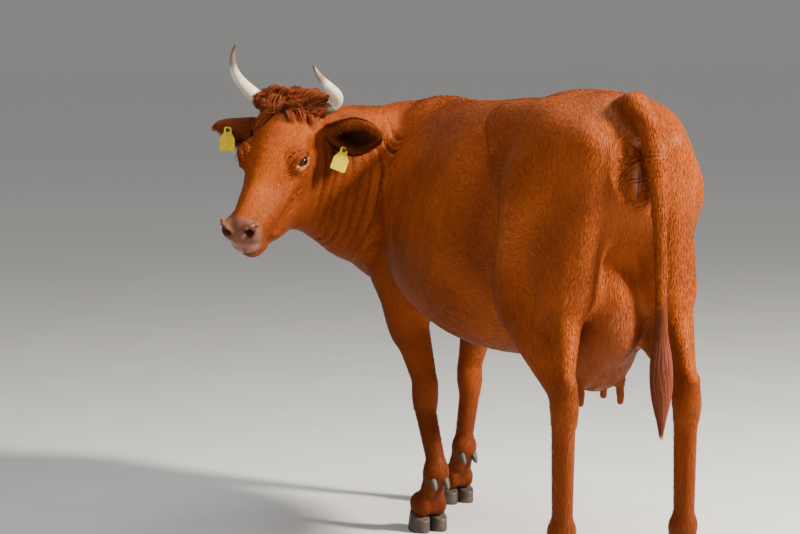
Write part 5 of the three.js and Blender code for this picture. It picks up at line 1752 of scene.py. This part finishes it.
def add_lashes(side, material):
    """Short brown lashes of the upper lid, drooping over the eye."""
    _, along, up, out = eye_frame(side)
    line = lid_line(side, True, count=84)[8:-4]
    n = len(line)
    s = np.linspace(-1, 1, n)
    start = line + out * 3.5 - up * 2.0 + RNG.normal(0, 0.6, (n, 3))
    way = unit(out * 0.8 - up * 0.75 + along * (0.5 * s)[:, None] + RNG.normal(0, 0.10, (n, 3)))
    length = RNG.uniform(5, 8, n)[:, None]
    middle = start + way * length * 0.5 - up * 1.2
    tip = start + way * length + up * length * 0.10 - vec(0, 0, 0.12) * length
    colours = np.tile(LASH, (n, 1)) * RNG.uniform(0.6, 1.5, n)[:, None]
    places = np.stack([0.955 + 0.03 * RNG.random(n), 0.9 + 0.05 * RNG.random(n)], 1)
    piece = lock_piece(f"lashes_{SIDE_NAME[side]}", np.stack([start, middle, tip], 1), np.full((n, 1), 0.35),
                       np.tile(out, (n, 1)), colours, places)
    finish_piece(piece, (), material)


SWITCH_TOP = vec(-68, -52, 700)
SWITCH_LEAN = 0.022              # how far the tail over the switch leans back, for each mm up


def add_switch(material):
    """Long coarse strands that leave the last of the tail and gather into a loose tassel."""
    n = 1500
    steps = 9
    turn = RNG.uniform(0, 2 * math.pi, n)
    start_u = RNG.uniform(672, 800, n)
    radius = 13.0
    low = RNG.uniform(425, 540, n)
    reach = RNG.uniform(0.25, 1.0, n) ** 0.6
    paths = np.zeros((n, steps, 3))
    for k in range(steps):
        t = k / (steps - 1)
        u = start_u + (low - start_u) * t
        share = np.clip((700 - u) / 270, 0, 1)
        spindle = 15 + 17 * np.sin(math.pi * np.minimum(share * 1.1, 1)) - 11 * share**2
        r = np.where(u > 700, radius + 10 * t, spindle * (0.35 + 0.65 * reach))
        wave = 0.16 * np.sin(6 * t + 9 * reach + turn * 2)
        angle = turn + wave + 0.35 * t
        paths[:, k, 0] = SWITCH_TOP[0] + 6 * share + r * np.cos(angle) - np.maximum(u - 700, 0) * SWITCH_LEAN
        paths[:, k, 1] = SWITCH_TOP[1] - 2 * share + r * np.sin(angle)
        paths[:, k, 2] = u
    normals = unit(np.stack([np.cos(turn), np.sin(turn), 0 * turn], 1))
    widths = np.linspace(1.7, 0.8, steps - 2)[None] * RNG.uniform(0.7, 1.3, n)[:, None]
    colours = SWITCH_HAIR * RNG.uniform(0.6, 1.6, n)[:, None]
    colours = blend_to(colours, DEEP, (start_u > 720) * 0.6)
    places = np.stack([0.96 + 0.02 * turn / 7, 0.52 + 0.1 * t * RNG.random(n)], 1)
    piece = lock_piece("tail_switch_hair", paths, widths, normals, colours, places, soft=0.5,
                       shade=(0.8, 1.0, 1.1))
    finish_piece(piece, ("tail_switch",), material)


# ---- the cow -------------------------------------------------------------------------------------
FLESH_NODES = ("head", "neck", "trunk", "tail", "udder", "ear_left", "ear_right",
               "leg_front_left", "leg_front_right", "leg_hind_left", "leg_hind_right")


def add_skin(points, faces):
    """The skin of the body and the two ears, as one piece."""
    parts = [(points, faces, markings_and_painted_light(points), wetness(points))]
    base = len(points)
    for side in (1, -1):
        flat, ear_faces, spread, front = ear_net(side)
        parts.append((flat, ear_faces + base, ear_colours(spread, front), np.zeros(len(flat))))
        base += len(flat)
    points, faces, colours, wet = (np.concatenate(x) for x in zip(*parts))
    piece = mesh_object("skin", row(points), faces)
    paint(piece, "Markings", colours)
    layer = piece.data.attributes.new("Wet", "FLOAT", "POINT")
    layer.data.foreach_set("value", wet.astype(np.float32))
    finish_piece(piece, FLESH_NODES, skin_material())


def build():
    add_flesh()
    for side in (1, -1):
        add_eye_folds(side)
        add_muzzle_folds(side)
    add_middle_folds()
    add_rear_folds()
    points, faces = skin_net()
    add_skin(points, faces)
    hair = grow_coat(points, faces)
    horn, hoof, tag, eye = horn_material(), hoof_material(), tag_material(), eye_material()
    for side in (1, -1):
        grow_ear_hair(side, hair)
        add_lashes(side, hair)
        add_horn(side, horn)
        add_eye(side, eye)
        add_tag(side, tag)
        for end in ("fore", "hind"):
            for inner in (1, -1):
                add_claw(end, side, inner, hoof)
    add_poll_hair(hair)
    add_switch(hair)


add_camera()
add_stage()
build()

VISUAL_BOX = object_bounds()
[[list(map(float, c)) for c in box] for box in (CAD_BOX, VISUAL_BOX)]
